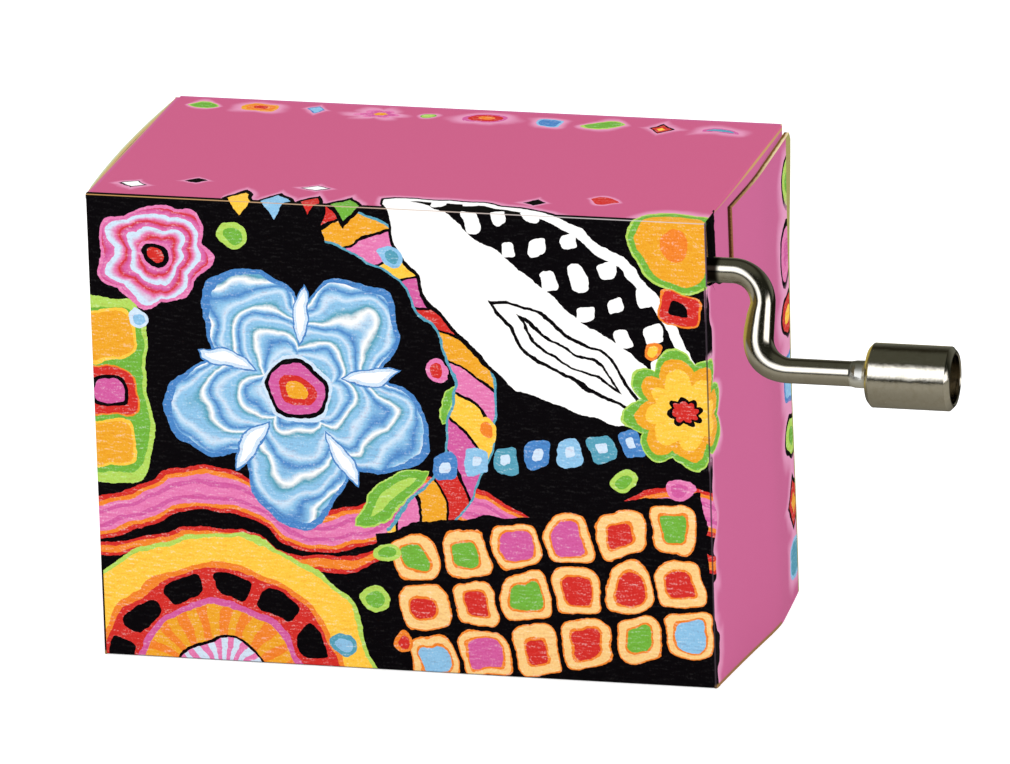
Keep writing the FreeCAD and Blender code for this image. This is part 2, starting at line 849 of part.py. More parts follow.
def upper_end_cap():
    """Cap at the wheel end; its hub carries the wheel."""
    return end_cap(cylinder_top_z, -1, wheel_low_z)


def lower_end_cap():
    """Cap at the lower end; its hub runs on the lower bush."""
    return end_cap(cylinder_low_z, 1, lower_hub_z)


def cylinder_arbor():
    """Steel arbor through the cylinder, turning in the two bushes."""
    low_z = lower_ear_z - arbor_stub
    top_z = upper_ear_z + bracket_thickness + arbor_stub
    return bar(arbor_diameter / 2, axis_point(low_z), axis_point(top_z))


# Worm drive
def tooth_half_widths():
    """Half width of a tooth at its root and at its tip, backlash taken off both sides."""
    slope = math.tan(math.radians(flank_angle_deg))
    pitch_half = worm_lead / 4 - tooth_side_backlash
    return pitch_half + tooth_dedendum * slope, pitch_half - tooth_addendum * slope


def wheel_outline(z, turn):
    """Outline of the worm wheel at one height, turned by an angle in radians."""
    root_half, tip_half = tooth_half_widths()
    root_radius = wheel_pitch_radius - tooth_dedendum
    corners = [
        (root_radius, -root_half),
        (wheel_tip_radius, -tip_half),
        (wheel_tip_radius, tip_half),
        (root_radius, root_half),
    ]
    points = []
    for tooth in range(wheel_teeth):
        # A gap, not a tooth, faces the worm.
        middle = -math.pi / 2 + (tooth + 0.5) * 2 * math.pi / wheel_teeth + turn
        for radius, offset in corners:
            angle = middle + offset / radius
            x = cylinder_x + radius * math.cos(angle)
            y = cylinder_y + radius * math.sin(angle)
            points.append(Vec(x, y, z))
    return Part.makePolygon(points + [points[0]])


def worm_wheel():
    """Worm wheel with slanted teeth, on the arbor above the cylinder."""
    lead_slope = worm_lead / (2 * math.pi * worm_pitch_radius)
    half_turn = lead_slope * wheel_width / 2 / wheel_pitch_radius
    outlines = [wheel_outline(wheel_low_z, -half_turn), wheel_outline(wheel_top_z, half_turn)]
    blank = Part.makeLoft(outlines, True, True)
    return blank.cut(bar(arbor_diameter / 2, axis_point(wheel_low_z), axis_point(wheel_top_z)))


def worm_thread():
    """Right-hand thread about +X whose middle crest faces the wheel."""
    root_half, tip_half = tooth_half_widths()
    root_radius = worm_pitch_radius - tooth_dedendum
    tip_radius = worm_pitch_radius + tooth_addendum
    length = worm_turns * worm_lead
    helix = Part.makeHelix(worm_lead, length, worm_pitch_radius)
    corners = [
        Vec(root_radius - thread_sunk, 0, -root_half),
        Vec(tip_radius, 0, -tip_half),
        Vec(tip_radius, 0, tip_half),
        Vec(root_radius - thread_sunk, 0, root_half),
    ]
    profile = Part.makePolygon(corners + [corners[0]])
    thread = Part.Wire(helix).makePipeShell([profile], True, True)
    thread.rotate(Vec(0, 0, 0), Vec(0, 1, 0), 90)
    # The thread starts on the -Z side, so the wheel's side is a quarter turn on.
    whole_turns = math.floor(worm_turns / 2)
    thread.translate(Vec(cylinder_x - (whole_turns + 0.25) * worm_lead, crank_y, crank_z))
    return thread


def cross_pin_place():
    """Middle of the pin that fixes the worm on the crank's journal."""
    return Vec(worm_end_x - cross_pin_from_worm_end, crank_y, crank_z)


def cross_pin_bar(half_length):
    """The cross pin, or the hole for it."""
    middle = cross_pin_place()
    return bar(cross_pin_diameter / 2, middle - Vec(0, 0, half_length), middle + Vec(0, 0, half_length))


def worm():
    """Brass worm: a sleeve on the crank's journal with one thread."""
    sleeve_radius = worm_pitch_radius - tooth_dedendum
    sleeve = bar(sleeve_radius, Vec(worm_start_x, crank_y, crank_z), Vec(worm_end_x, crank_y, crank_z))
    bore = bar(journal_diameter / 2, Vec(worm_start_x, crank_y, crank_z), Vec(worm_end_x, crank_y, crank_z))
    return sleeve.fuse(worm_thread()).cut([bore, cross_pin_bar(2 * sleeve_radius)])


def worm_cross_pin():
    """Steel pin through the worm and the journal."""
    return cross_pin_bar(worm_pitch_radius - tooth_dedendum)


# Crank
def crank_path():
    """Middle line of the bent rod: straight runs joined by tangent arcs."""
    start = Vec(journal_end_x, crank_y, crank_z)
    first = Vec(arm_x, crank_y, crank_z)
    second = Vec(arm_x, knob_y, knob_z)
    end = Vec(knob_end_x - knob_recess_depth + 2 * axial_play, knob_y, knob_z)
    down = second.sub(first)
    down.normalize()
    ahead = Vec(1, 0, 0)
    radius = rod_bend_radius
    corner_share = 1 - math.sqrt(0.5)
    first_in = first - ahead * radius
    first_out = first + down * radius
    first_mid = first + (down - ahead) * radius * corner_share
    second_in = second - down * radius
    second_out = second + ahead * radius
    second_mid = second + (ahead - down) * radius * corner_share
    edges = [
        line(start, first_in),
        arc(first_in, first_mid, first_out),
        line(first_out, second_in),
        arc(second_in, second_mid, second_out),
        line(second_out, end),
    ]
    return Part.Wire(edges), start, end


def pinched_ears():
    """The flattened spot on the rod that keeps the knob from sliding inwards."""
    end_x = knob_start_x - 2 * axial_play
    start_x = end_x - pinch_length
    half_w = pinch_half_width
    half_t = pinch_thickness / 2
    edge_t = pinch_edge_thickness / 2
    outline = [
        (-half_w, -edge_t),
        (-half_w / 2, -half_t),
        (half_w / 2, -half_t),
        (half_w, -edge_t),
        (half_w, edge_t),
        (half_w / 2, half_t),
        (-half_w / 2, half_t),
        (-half_w, edge_t),
    ]
    ears = along_x(outline, start_x, end_x)
    ears.rotate(Vec(0, 0, 0), Vec(1, 0, 0), pinch_turn_deg)
    ears.translate(Vec(0, knob_y, knob_z))
    return ears


def crank_rod():
    """Bent steel rod: thin journal in the box, arm outside, riveted head inside the knob."""
    path, start, end = crank_path()
    circle = Part.Circle(start, Vec(1, 0, 0), rod_diameter / 2).toShape()
    rod = path.makePipeShell([Part.Wire(circle)], True, False)
    journal = bar(journal_diameter / 2, Vec(journal_start_x, crank_y, crank_z), start)
    head = bar(rod_end_head_radius, end, end + Vec(rod_end_head_thickness, 0, 0))
    rim = [edge for edge in head.Edges if abs(edge.CenterOfMass.x - end.x - rod_end_head_thickness) < 1e-6]
    head = head.makeFillet(rod_end_head_thickness / 2, rim)
    return rod.fuse([journal, head, pinched_ears()]).cut(cross_pin_bar(journal_diameter))


def crank_knob():
    """Turned tube that spins on the rod, open in a recess at its outer end."""
    start = Vec(knob_start_x, knob_y, knob_z)
    end = Vec(knob_end_x, knob_y, knob_z)
    body = bar(knob_diameter / 2, start, end)
    rims = []
    for edge in body.Edges:
        at_end = min(abs(edge.CenterOfMass.x - start.x), abs(edge.CenterOfMass.x - end.x)) < 1e-6
        if at_end and isinstance(edge.Curve, Part.Circle):
            rims.append(edge)
    body = body.makeChamfer(knob_chamfer, rims)
    recess_start = end - Vec(knob_recess_depth, 0, 0)
    recess = bar(knob_recess_diameter / 2, recess_start, end)
    bore = bar(rod_diameter / 2 + running_clearance, start, end)
    return body.cut([recess, bore])


sub_parts = [
    front_panel,
    top_panel,
    back_panel,
    bottom_panel,
    glue_tab,
    right_end_flap,
    right_top_dust_flap,
    right_bottom_dust_flap,
    left_end_flap,
    left_top_dust_flap,
    left_bottom_dust_flap,
    sounding_board,
    bedplate,
    worm_bracket,
    lower_cylinder_bracket,
    inner_crank_bush,
    outer_crank_bush,
    upper_arbor_bush,
    lower_arbor_bush,
    comb,
    comb_weights,
    comb_dampers,
    comb_screws,
    bracket_screws,
    mounting_screws,
    mounting_washers,
    cylinder_tube,
    cylinder_pins,
    upper_end_cap,
    lower_end_cap,
    cylinder_arbor,
    worm_wheel,
    worm,
    worm_cross_pin,
    crank_rod,
    crank_knob,
]


def main():
    """Write each sub-part to its own file."""
    os.makedirs("parts", exist_ok=True)
    for sub_part in sub_parts:
        shape = sub_part()
        name = sub_part.__name__
        print(name, len(shape.Solids), "solids", round(shape.Volume, 2), "mm3", shape.isValid())
        shape.exportStep(os.path.join("parts", name + ".step"))


main()
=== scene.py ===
"""A hand-cranked music box in a printed carton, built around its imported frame."""

import json
import math

import bmesh
import bpy
from bpy.props import FloatProperty, FloatVectorProperty, PointerProperty
from mathutils import Matrix, Vector

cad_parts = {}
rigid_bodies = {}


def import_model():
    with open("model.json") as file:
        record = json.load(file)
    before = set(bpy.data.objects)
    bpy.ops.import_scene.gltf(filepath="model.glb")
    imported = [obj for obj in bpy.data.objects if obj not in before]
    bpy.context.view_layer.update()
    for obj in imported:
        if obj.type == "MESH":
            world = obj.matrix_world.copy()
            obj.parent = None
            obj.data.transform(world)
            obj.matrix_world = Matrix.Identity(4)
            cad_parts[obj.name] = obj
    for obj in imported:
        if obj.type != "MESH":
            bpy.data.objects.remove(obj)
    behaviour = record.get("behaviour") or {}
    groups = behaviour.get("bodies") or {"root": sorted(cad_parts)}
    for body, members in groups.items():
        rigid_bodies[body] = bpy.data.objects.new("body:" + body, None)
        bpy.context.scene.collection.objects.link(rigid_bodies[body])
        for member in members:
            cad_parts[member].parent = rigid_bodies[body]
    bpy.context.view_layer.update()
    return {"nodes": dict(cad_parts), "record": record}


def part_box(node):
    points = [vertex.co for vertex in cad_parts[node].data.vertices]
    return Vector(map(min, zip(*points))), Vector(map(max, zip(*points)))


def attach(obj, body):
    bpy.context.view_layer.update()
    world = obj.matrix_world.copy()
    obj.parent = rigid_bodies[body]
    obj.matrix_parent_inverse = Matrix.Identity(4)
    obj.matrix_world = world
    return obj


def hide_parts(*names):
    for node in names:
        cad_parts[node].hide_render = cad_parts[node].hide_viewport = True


bl_info = {
    "name": "Music Box",
    "version": (1, 0, 0),
    "blender": (4, 5, 0),
    "location": "View3D > Sidebar > Music Box",
    "description": "Models a hand-cranked music box in a printed carton",
    "category": "Object",
}

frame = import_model()

MM = 0.001
HAIR = 0.01 * MM
SHARP = math.radians(50)
ALONG = Vector((1, 0, 0))
DONE = {"FINISHED"}
FRONT_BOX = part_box("front_panel")
ROD_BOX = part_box("crank_rod")
KNOB_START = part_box("crank_knob")[0].x
KNOB_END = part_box("crank_knob")[1].x


# Values that a user may change
def length(name, description, default):
    """A size in metres."""
    return FloatProperty(name=name, description=description, default=default, unit="LENGTH", precision=5)


def turn(name, description, degrees):
    """An angle, kept in radians and shown in degrees."""
    return FloatProperty(name=name, description=description, default=math.radians(degrees), subtype="ANGLE")


def linear(colour):
    """A colour written as on a screen, from 0 to 255, as the shaders want it."""
    parts = [value / 255 for value in colour]
    return tuple(part / 12.92 if part <= 0.04045 else ((part + 0.055) / 1.055) ** 2.4 for part in parts)


def tint(name, description, *colour):
    """A colour, given as on a screen."""
    return FloatVectorProperty(
        name=name, description=description, default=linear(colour), subtype="COLOR", size=3, min=0, max=1
    )


class CartonSettings(bpy.types.PropertyGroup):
    """Sizes of the folded carton."""

    left: length("Left end", "Where the left end fold lies", -FRONT_BOX[1].x - 0.13 * MM)
    right: length("Right end", "Where the right end fold lies", FRONT_BOX[1].x)
    front: length("Front", "Where the outer face of the front wall lies", FRONT_BOX[0].y)
    back: length("Back", "Where the outer face of the back wall lies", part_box("back_panel")[1].y)
    height: length("Height", "Height of the carton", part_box("top_panel")[1].z)
    board: length("Board", "Thickness of the folded board", 0.5 * MM)
    fold_rounding: length("Fold rounding", "How far the outside of a fold is rounded", 0.2 * MM)
    edge_rounding: length("Edge rounding", "How far a cut edge is rounded", 0.04 * MM)
    fold_return: length("Fold return", "How far a wall reaches round its folds", 0.6 * MM)
    end_return: length("End return", "How far an end flap reaches round its fold", 0.22 * MM)
    crease_inset: length("Crease inset", "How far a dust flap reaches in over the top", 0.85 * MM)
    step: length("Notch step", "Height from which the front wall reaches its right fold", 39.75 * MM)
    screw_hole: length("Screw hole", "Radius of a hole in the back wall", 1.4 * MM)
    flap_top: length("Right flap top", "Height of the right end flap at the notch", 44.85 * MM)
    flap_rise: length("Right flap rise", "How much higher the right end flap is at the back", 0.65 * MM)
    flap_back: length("Flap back", "Where an end flap ends at the back", 15.6 * MM)
    flap_taper: length("Right flap taper", "How much narrower the right end flap is at its bottom", 2.9 * MM)
    standoff: length("Standoff", "How far the right flap stands off its dust flaps", 0.45 * MM)
    bulge_low: length("Right bulge, low", "How far the right flap bulges at its bottom", 1.14 * MM)
    bulge_top: length("Right bulge, top", "How far the right flap bulges at its top", 0.45 * MM)
    left_bulge: length("Left bulge", "How far the left flap bulges", 0.6 * MM)
    notch_back: length("Notch back", "How far back the notch for the crank reaches", -7.0 * MM)
    dust_depth: length("Dust flap depth", "How far a dust flap reaches over an end", 15 * MM)
    dust_taper: length("Dust flap taper", "How wide the slanted corner of a dust flap is", 3 * MM)
    rod_slot: length("Rod slot", "Radius of the dust flap's slot for the rod", 1.26 * MM)


class PrintSettings(bpy.types.PropertyGroup):
    """Inks of the printed board, and the colours of its cut edges."""

    top: tint("Top ground", "Pink ground of the top", 201, 93, 134)
    side: tint("Side ground", "Pink ground of the other walls", 200, 100, 146)
    glow: tint("Glow", "Pale glow round the motifs on the pink ground", 230, 158, 194)
    black: tint("Black", "Black ground and outlines", 6, 3, 7)
    paper: tint("Paper", "White paper left bare", 253, 252, 250)
    yellow: tint("Yellow", "Yellow pencil", 252, 200, 66)
    amber: tint("Amber", "Amber pencil", 236, 166, 40)
    orange: tint("Orange", "Orange pencil", 238, 132, 42)
    red: tint("Red", "Red pencil", 208, 46, 40)
    magenta: tint("Magenta", "Magenta pencil", 208, 92, 158)
    rose: tint("Rose", "Rose pencil", 226, 122, 176)
    sky: tint("Sky", "Light blue pencil", 138, 192, 228)
    pale: tint("Pale blue", "Palest blue pencil", 205, 226, 244)
    blue: tint("Blue", "Blue pencil", 72, 132, 196)
    teal: tint("Teal", "Blue-green pencil", 84, 158, 182)
    green: tint("Green", "Green pencil", 112, 178, 60)
    lime: tint("Lime", "Light green pencil", 176, 214, 92)
    cream: tint("Cream", "Cream pencil", 246, 204, 132)
    core_light: tint("Board, light", "Pale ply at a cut edge", 226, 208, 160)
    core_dark: tint("Board, dark", "Core of the board at a cut edge", 124, 86, 32)
    liner: tint("Board, inside", "Grey-brown inside of the board", 176, 160, 136)


class CrankSettings(bpy.types.PropertyGroup):
    """Sizes and colour of the crank and its knob."""

    axle_y: length("Axle, across", "How far back the turning axis lies", -11.3 * MM)
    axle_z: length("Axle, height", "Height of the turning axis", 40 * MM)
    rod_radius: length("Rod radius", "Radius of the bent rod", 1.2 * MM)
    journal_radius: length("Journal radius", "Radius of the rod inside the movement", 1.0 * MM)
    journal_end: length("Journal end", "Where the journal widens to the rod", 19.3 * MM)
    bend_radius: length("Bend radius", "Radius of the rod's middle line in a bend", 3.0 * MM)
    arm: length("Arm", "Where the arm lies along the length", 34.5 * MM)
    throw: length("Throw", "Distance between the two straight ends", 9.1 * MM)
    lean: turn("Lean", "How far the arm leans forwards from straight down", 19)
    pressed: length("Pressed width", "How much wider the lower bend is pressed", 0.5 * MM)
    knob_radius: length("Knob radius", "Radius of the knob", 3.05 * MM)
    recess_radius: length("Recess radius", "Radius of the recess in the knob's outer end", 2.35 * MM)
    recess_depth: length("Recess depth", "Depth of the recess in the knob's outer end", 2.8 * MM)
    head_radius: length("Head radius", "Radius of the riveted end", 1.7 * MM)
    nickel: tint("Nickel", "Colour of the plating", 206, 198, 184)


class StudioSettings(bpy.types.PropertyGroup):
    """Camera and light."""

    yaw: turn("Yaw", "How far the camera stands round to the crank side", -15.114)
    pitch: turn("Pitch", "How far the camera looks down", 18.158)
    roll: turn("Roll", "How far the camera leans", -1.854)
    aside: length("Aside", "How far the camera is off the carton's middle, sideways", -5.712 * MM)
    off: length("Off", "How far the camera is off the carton's middle, upwards", 0.635 * MM)
    distance: length("Distance", "From the camera to the carton's middle", 1.343313)
    lens: FloatProperty(name="Lens", description="Focal length in millimetres", default=502.18)
    key: FloatProperty(name="Key light", description="Power of the front lamp", default=2.05, unit="POWER")
    fill: FloatProperty(name="Side light", description="Power of the side lamp", default=2.05, unit="POWER")
    room: FloatProperty(name="Room light", description="Level of the soft light all round", default=0.9)


SETTINGS = {
    "music_box_carton": CartonSettings,
    "music_box_print": PrintSettings,
    "music_box_crank": CrankSettings,
    "music_box_studio": StudioSettings,
}


def carton():
    return bpy.context.scene.music_box_carton


def crank():
    return bpy.context.scene.music_box_crank


def studio():
    return bpy.context.scene.music_box_studio


def ink(name):
    return tuple(getattr(bpy.context.scene.music_box_print, name))


# Modelling steps
def select_only(piece):
    bpy.ops.object.select_all(action="DESELECT")
    piece.select_set(True)
    bpy.context.view_layer.objects.active = piece


def edit(piece):
    select_only(piece)
    bpy.ops.object.mode_set(mode="EDIT")


def leave_edit():
    bpy.ops.object.mode_set(mode="OBJECT")


def choose(piece, kind, passes):
    """Selects the vertices, edges or faces that pass a test."""
    bpy.ops.mesh.select_mode(type=kind)
    bpy.ops.mesh.select_all(action="DESELECT")
    mesh = bmesh.from_edit_mesh(piece.data)
    for item in {"VERT": mesh.verts, "EDGE": mesh.edges, "FACE": mesh.faces}[kind]:
        if passes(item):
            item.select_set(True)
    bmesh.update_edit_mesh(piece.data)


def choose_points(piece, test):
    """Selects the points whose place passes a test."""
    choose(piece, "VERT", lambda point: test(point.co))


def choose_faces(piece, test):
    """Selects the faces whose middle passes a test of its place."""
    choose(piece, "FACE", lambda face: test(face.calc_center_median()))


def choose_edges(piece, test, sharp=False):
    """Selects the edges, or the sharp edges, whose ends pass a test of their place."""

    def passes(edge):
        if sharp and (len(edge.link_faces) != 2 or edge.calc_face_angle() <= SHARP):
            return False
        return all(test(end.co) for end in edge.verts)

    choose(piece, "EDGE", passes)


def near(value, target, slack=2 * HAIR):
    return abs(value - target) < slack


def on(**places):
    """A test of whether a point lies at given places along given axes."""
    return lambda co: all(near(getattr(co, axis), place) for axis, place in places.items())


def extrude(x=0.0, y=0.0, z=0.0):
    """Extrudes what is selected along a vector."""
    bpy.ops.mesh.extrude_region_move(TRANSFORM_OT_translate={"value": (x, y, z)})


def extend(piece, test, x=0.0, y=0.0):
    """Draws a sheet on from the edges that pass a test."""
    choose_edges(piece, test)
    extrude(x, y)


def cut(point, normal):
    """Cuts what is selected along a plane and keeps both sides."""
    bpy.ops.mesh.bisect(plane_co=point, plane_no=normal, threshold=1e-7)


def score(piece, axis, place, test):
    """Cuts the faces that pass a test at one place along an axis."""
    choose_faces(piece, test)
    way = Vector((0, 0, 0))
    way[axis] = 1
    cut(way * place, way)


def modifier(piece, kind, **settings):
    """Adds a modifier, sets it and applies it."""
    select_only(piece)
    bpy.ops.object.modifier_add(type=kind)
    added = piece.modifiers[-1]
    for name, value in settings.items():
        setattr(added, name, value)
    bpy.ops.object.modifier_apply(modifier=added.name)


def smooth(piece, degrees):
    """Shades a piece smooth, apart from its sharper edges."""
    select_only(piece)
    bpy.ops.object.shade_smooth_by_angle(angle=math.radians(degrees))


def named(name):
    """The piece just added, with its name, and with its place put into its mesh."""
    piece = bpy.context.object
    piece.name = name
    piece.data.name = name
    select_only(piece)
    bpy.ops.object.transform_apply(location=True, rotation=True, scale=True)
    return piece


def sheet(name, low, high, facing, cells):
    """A flat grid between two corners that share one coordinate; facing is the way it looks."""
    turns = {
        "-Y": (math.pi / 2, 0, 0),
        "+Y": (math.pi / 2, 0, math.pi),
        "+X": (math.pi / 2, 0, math.pi / 2),
        "-X": (math.pi / 2, 0, -math.pi / 2),
        "+Z": (0, 0, 0),
        "-Z": (math.pi, 0, 0),
    }
    low = Vector(low)
    high = Vector(high)
    size = high - low
    bpy.ops.object.select_all(action="DESELECT")
    bpy.ops.mesh.primitive_grid_add(
        x_subdivisions=cells[0],
        y_subdivisions=cells[1],
        size=1,
        location=(low + high) / 2,
        rotation=turns[facing],
    )
    width = size.y if facing[1] == "X" else size.x
    tall = size.y if facing[1] == "Z" else size.z
    bpy.context.object.scale = (width, tall, 1)
    return named(name)


def punch(piece, outline, through):
    """Cuts a convex opening out of a sheet; its outline is swept along one direction."""
    outline = [Vector(point) for point in outline]
    through = Vector(through)
    middle = sum(outline, Vector()) / len(outline)
    reach = max((point - middle).length for point in outline) + 2 * MM
    sides = []
    for start, end in zip(outline, outline[1:] + outline[:1]):
        normal = (end - start).cross(through).normalized()
        if normal.dot(middle - start) > 0:
            normal.negate()
        sides.append((start, normal))

    def within(place, count):
        offset = place - middle
        offset -= through * offset.dot(through)
        return offset.length < reach and all((place - point).dot(way) < 0 for point, way in sides[:count])

    edit(piece)
    for count, (point, normal) in enumerate(sides):
        choose_faces(piece, lambda place: within(place, count))
        cut(point, normal)
    choose_faces(piece, lambda place: within(place, len(sides)))
    bpy.ops.mesh.delete(type="FACE")
    leave_edit()


def punch_end(piece, x, outline):
    """Cuts a convex opening, with an outline of (y, z), out of a sheet that faces along X."""
    punch(piece, [(x, y, z) for y, z in outline], ALONG)


def circle(across, up, radius, steps=16):
    """Points round a circle, as pairs."""
    turns = (math.tau * step / steps for step in range(steps))
    return [(across + radius * math.cos(turn), up + radius * math.sin(turn)) for turn in turns]


def by_row(piece, axis, step, limit=lambda co: True):
    """Selects the points of a sheet row by row along one axis, and takes a step with each row."""
    edit(piece)
    rows = sorted({round(point.co[axis], 7) for point in bmesh.from_edit_mesh(piece.data).verts})
    for row in rows:
        choose_points(piece, lambda co: near(co[axis], row, 1e-6) and limit(co))
        step(row)
    leave_edit()


def push(x):
    bpy.ops.transform.translate(value=(x, 0, 0))


def bow(piece, way, profile, limit=lambda co: True):
    """Pushes the upright rows of a sheet along X, each by what the profile says for its Y."""
    by_row(piece, 1, lambda row: push(profile(row) * way), limit)


def pull(piece, place, x, reach):
    """Pulls the point nearest to a place along X, and the points around it with it."""
    edit(piece)
    points = bmesh.from_edit_mesh(piece.data).verts
    spot = min((point.co.copy() for point in points), key=lambda co: (co - Vector(place)).length)
    choose_points(piece, lambda co: (co - spot).length < 1e-7)
    bpy.ops.transform.translate(
        value=(x, 0, 0),
        use_proportional_edit=True,
        proportional_edit_falloff="SMOOTH",
        proportional_size=reach,
    )
    leave_edit()


def thicken(piece, folds, raw):
    """Gives a folded sheet its thickness, rounds its folds and breaks its cut edges."""
    box = carton()
    modifier(piece, "SOLIDIFY", thickness=box.board, offset=-1, use_even_offset=True)
    mesh = piece.data
    count = len(mesh.vertices) // 2
    ply = mesh.attributes.new("ply", "FLOAT", "POINT")
    ply.data.foreach_set("value", [0.0] * count + [1.0] * (len(mesh.vertices) - count))
    side = mesh.attributes.new("side", "FLOAT", "FACE")
    for face, item in zip(mesh.polygons, side.data):
        depth = sum(ply.data[i].value for i in face.vertices) / len(face.vertices)
        is_cut = 0.02 < depth < 0.98 and all(raw(mesh.vertices[i].co) for i in face.vertices)
        item.value = 2 if depth > 0.98 else 1 if is_cut else 0
    edit(piece)
    edges = [(raw, box.edge_rounding, 1)] + [(fold, box.fold_rounding, 4) for fold in folds]
    for test, rounding, segments in edges:
        choose_edges(piece, test, sharp=True)
        bpy.ops.mesh.bevel(offset=rounding, segments=segments, affect="EDGES")
    leave_edit()
    smooth(piece, 35)
    modifier(piece, "WEIGHTED_NORMAL", keep_sharp=True)


def lay_print(piece, place):
    """Gives each point its place on the printed sheet, in millimetres, and a baking map."""
    mesh = piece.data
    plies = [item.value for item in mesh.attributes["ply"].data]
    spots = [Vector((*place(point.co / MM), ply)) for point, ply in zip(mesh.vertices, plies)]
    printed = mesh.attributes.new("sheet", "FLOAT_VECTOR", "POINT")
    printed.data.foreach_set("vector", [value for spot in spots for value in spot])
    low = Vector([min(spot[axis] for spot in spots) for axis in (0, 1)])
    wide, tall = (max(spot[axis] for spot in spots) - low[axis] for axis in (0, 1))
    span = max(wide, tall)
    small = 0.2
    if wide > tall:
        inner_start = Vector((0.005, tall / span * 0.99 + 0.01))
        rim_start = inner_start + Vector((0.3, 0.015))
    else:
        inner_start = Vector((wide / span * 0.99 + 0.01, 0.005))
        rim_start = inner_start + Vector((0.015, 0.3))
    layer = mesh.uv_layers.new(name="OFBake")
    for polygon in mesh.polygons:
        inner = sum(plies[i] for i in polygon.vertices) / len(polygon.vertices)
        centre = polygon.center / MM
        way = Vector(place(centre + polygon.normal * 0.1)) - Vector(place(centre))
        if way.length > 0:
            way.normalize()
        for loop in polygon.loop_indices:
            index = mesh.loops[loop].vertex_index
            spot = (spots[index].xy - low) / span
            if inner < 0.02:
                spot = spot * 0.99
            elif inner > 0.98:
                spot = inner_start + spot * small
            else:
                spot = rim_start + spot * small + way * plies[index] * 0.01
            layer.data[loop].uv = spot


# Shader steps
class Network:
    """A node tree, laid out in the order in which its nodes are made."""

    def __init__(self, name, owner=None):
        self.owner = owner or bpy.data.materials.new(name)
        self.owner.use_nodes = True
        self.tree = self.owner.node_tree
        self.tree.nodes.clear()
        self.count = 0

    def node(self, kind, *values, **settings):
        """Adds a node, sets it, and fills or links its sockets in order."""
        added = self.tree.nodes.new("ShaderNode" + kind)
        added.location = (190 * (self.count % 30), -260 * (self.count // 30))
        self.count += 1
        for name, value in settings.items():
            setattr(added, name, value)
        for socket, value in zip(added.inputs, values):
            self.fill(socket, value)
        return added

    def fill(self, socket, value):
        """Links a socket to an output, or sets its value; a colour may be an ink's name."""
        if isinstance(value, str):
            value = ink(value)
        if isinstance(value, bpy.types.NodeSocket):
            self.tree.links.new(value, socket)
        elif socket.type == "RGBA" and len(value) == 3:
            socket.default_value = (*value, 1)
        else:
            socket.default_value = value

    def math(self, operation, *values):
        return self.node("Math", *values, operation=operation).outputs[0]

    def both(self, one, other):
        """One mask or value times another."""
        return self.math("MULTIPLY", one, other)

    def line(self, value, factor, more):
        """A value times a factor, plus more."""
        return self.math("MULTIPLY_ADD", value, factor, more)

    def less(self, value, other):
        return self.math("SUBTRACT", value, other)

    def size(self, value):
        """A value without its sign."""
        return self.math("ABSOLUTE", value)

    def below(self, value, limit):
        return self.math("LESS_THAN", value, limit)

    def between(self, value, low, high):
        return self.math("COMPARE", value, (low + high) / 2, (high - low) / 2)

    def fade(self, value, from_low, from_high, to_low=0.0, to_high=1.0):
        """Maps one range smoothly on another and clamps it."""
        ranges = (from_low, from_high, to_low, to_high)
        return self.node("MapRange", value, *ranges, interpolation_type="SMOOTHSTEP").outputs[0]

    def band(self, value, start, low, high, end):
        """A mask that fades in from start to low, and out from high to end."""
        return self.both(self.fade(value, start, low), self.fade(value, end, high))

    def vector(self, operation, *values):
        added = self.node("VectorMath", *values, operation=operation)
        name = "Value" if operation in ("LENGTH", "DISTANCE", "DOT_PRODUCT") else "Vector"
        return added.outputs[name]

    def split(self, vector):
        return self.node("SeparateXYZ", vector).outputs

    def mix(self, factor, under, over, blend="MIX"):
        added = self.node("Mix", factor, data_type="RGBA", blend_type=blend)
        self.fill(added.inputs[6], under)
        self.fill(added.inputs[7], over)
        return added.outputs[2]

    def ramp(self, value, stops, kind="CONSTANT"):
        """A colour for each stretch of a value."""
        added = self.node("ValToRGB", value)
        added.color_ramp.interpolation = kind
        elements = added.color_ramp.elements
        while len(elements) < len(stops):
            elements.new(1)
        for element, (position, colour) in zip(elements, stops):
            element.position = position
            element.color = (*colour, 1)
        return added.outputs[0]

    def noise(self, place, scale, detail=2.0, roughness=0.5, out="Fac"):
        added = self.node("TexNoise", place)
        added.inputs["Scale"].default_value = scale
        added.inputs["Detail"].default_value = detail
        added.inputs["Roughness"].default_value = roughness
        return added.outputs[out]

    def place(self):
        """Object coordinates in millimetres."""
        added = self.node("VectorMath", self.node("TexCoord").outputs["Object"], operation="SCALE")
        added.inputs["Scale"].default_value = 1 / MM
        return added.outputs["Vector"]

    def mapped(self, vector, place, turned, scale, kind="POINT"):
        return self.node("Mapping", vector, place, turned, scale, vector_type=kind).outputs[0]

    def stretched(self, vector, scale, lean=0.0):
        return self.mapped(vector, (0, 0, 0), (0, 0, lean), scale)

    def bump(self, height, strength, distance):
        added = self.node("Bump", strength, distance)
        self.fill(added.inputs["Height"], height)
        return added.outputs[0]

    def shader(self, **sockets):
        """Closes the network with one surface shader."""
        added = self.node("BsdfPrincipled")
        for name, value in sockets.items():
            self.fill(added.inputs[name.replace("_", " ").title().replace("Ior", "IOR")], value)
        self.node("OutputMaterial", added.outputs[0])
        return self.owner


def dress(piece, material):
    """Gives a piece its material in place of the one it has."""
    piece.data.materials.clear()
    piece.data.materials.append(material)


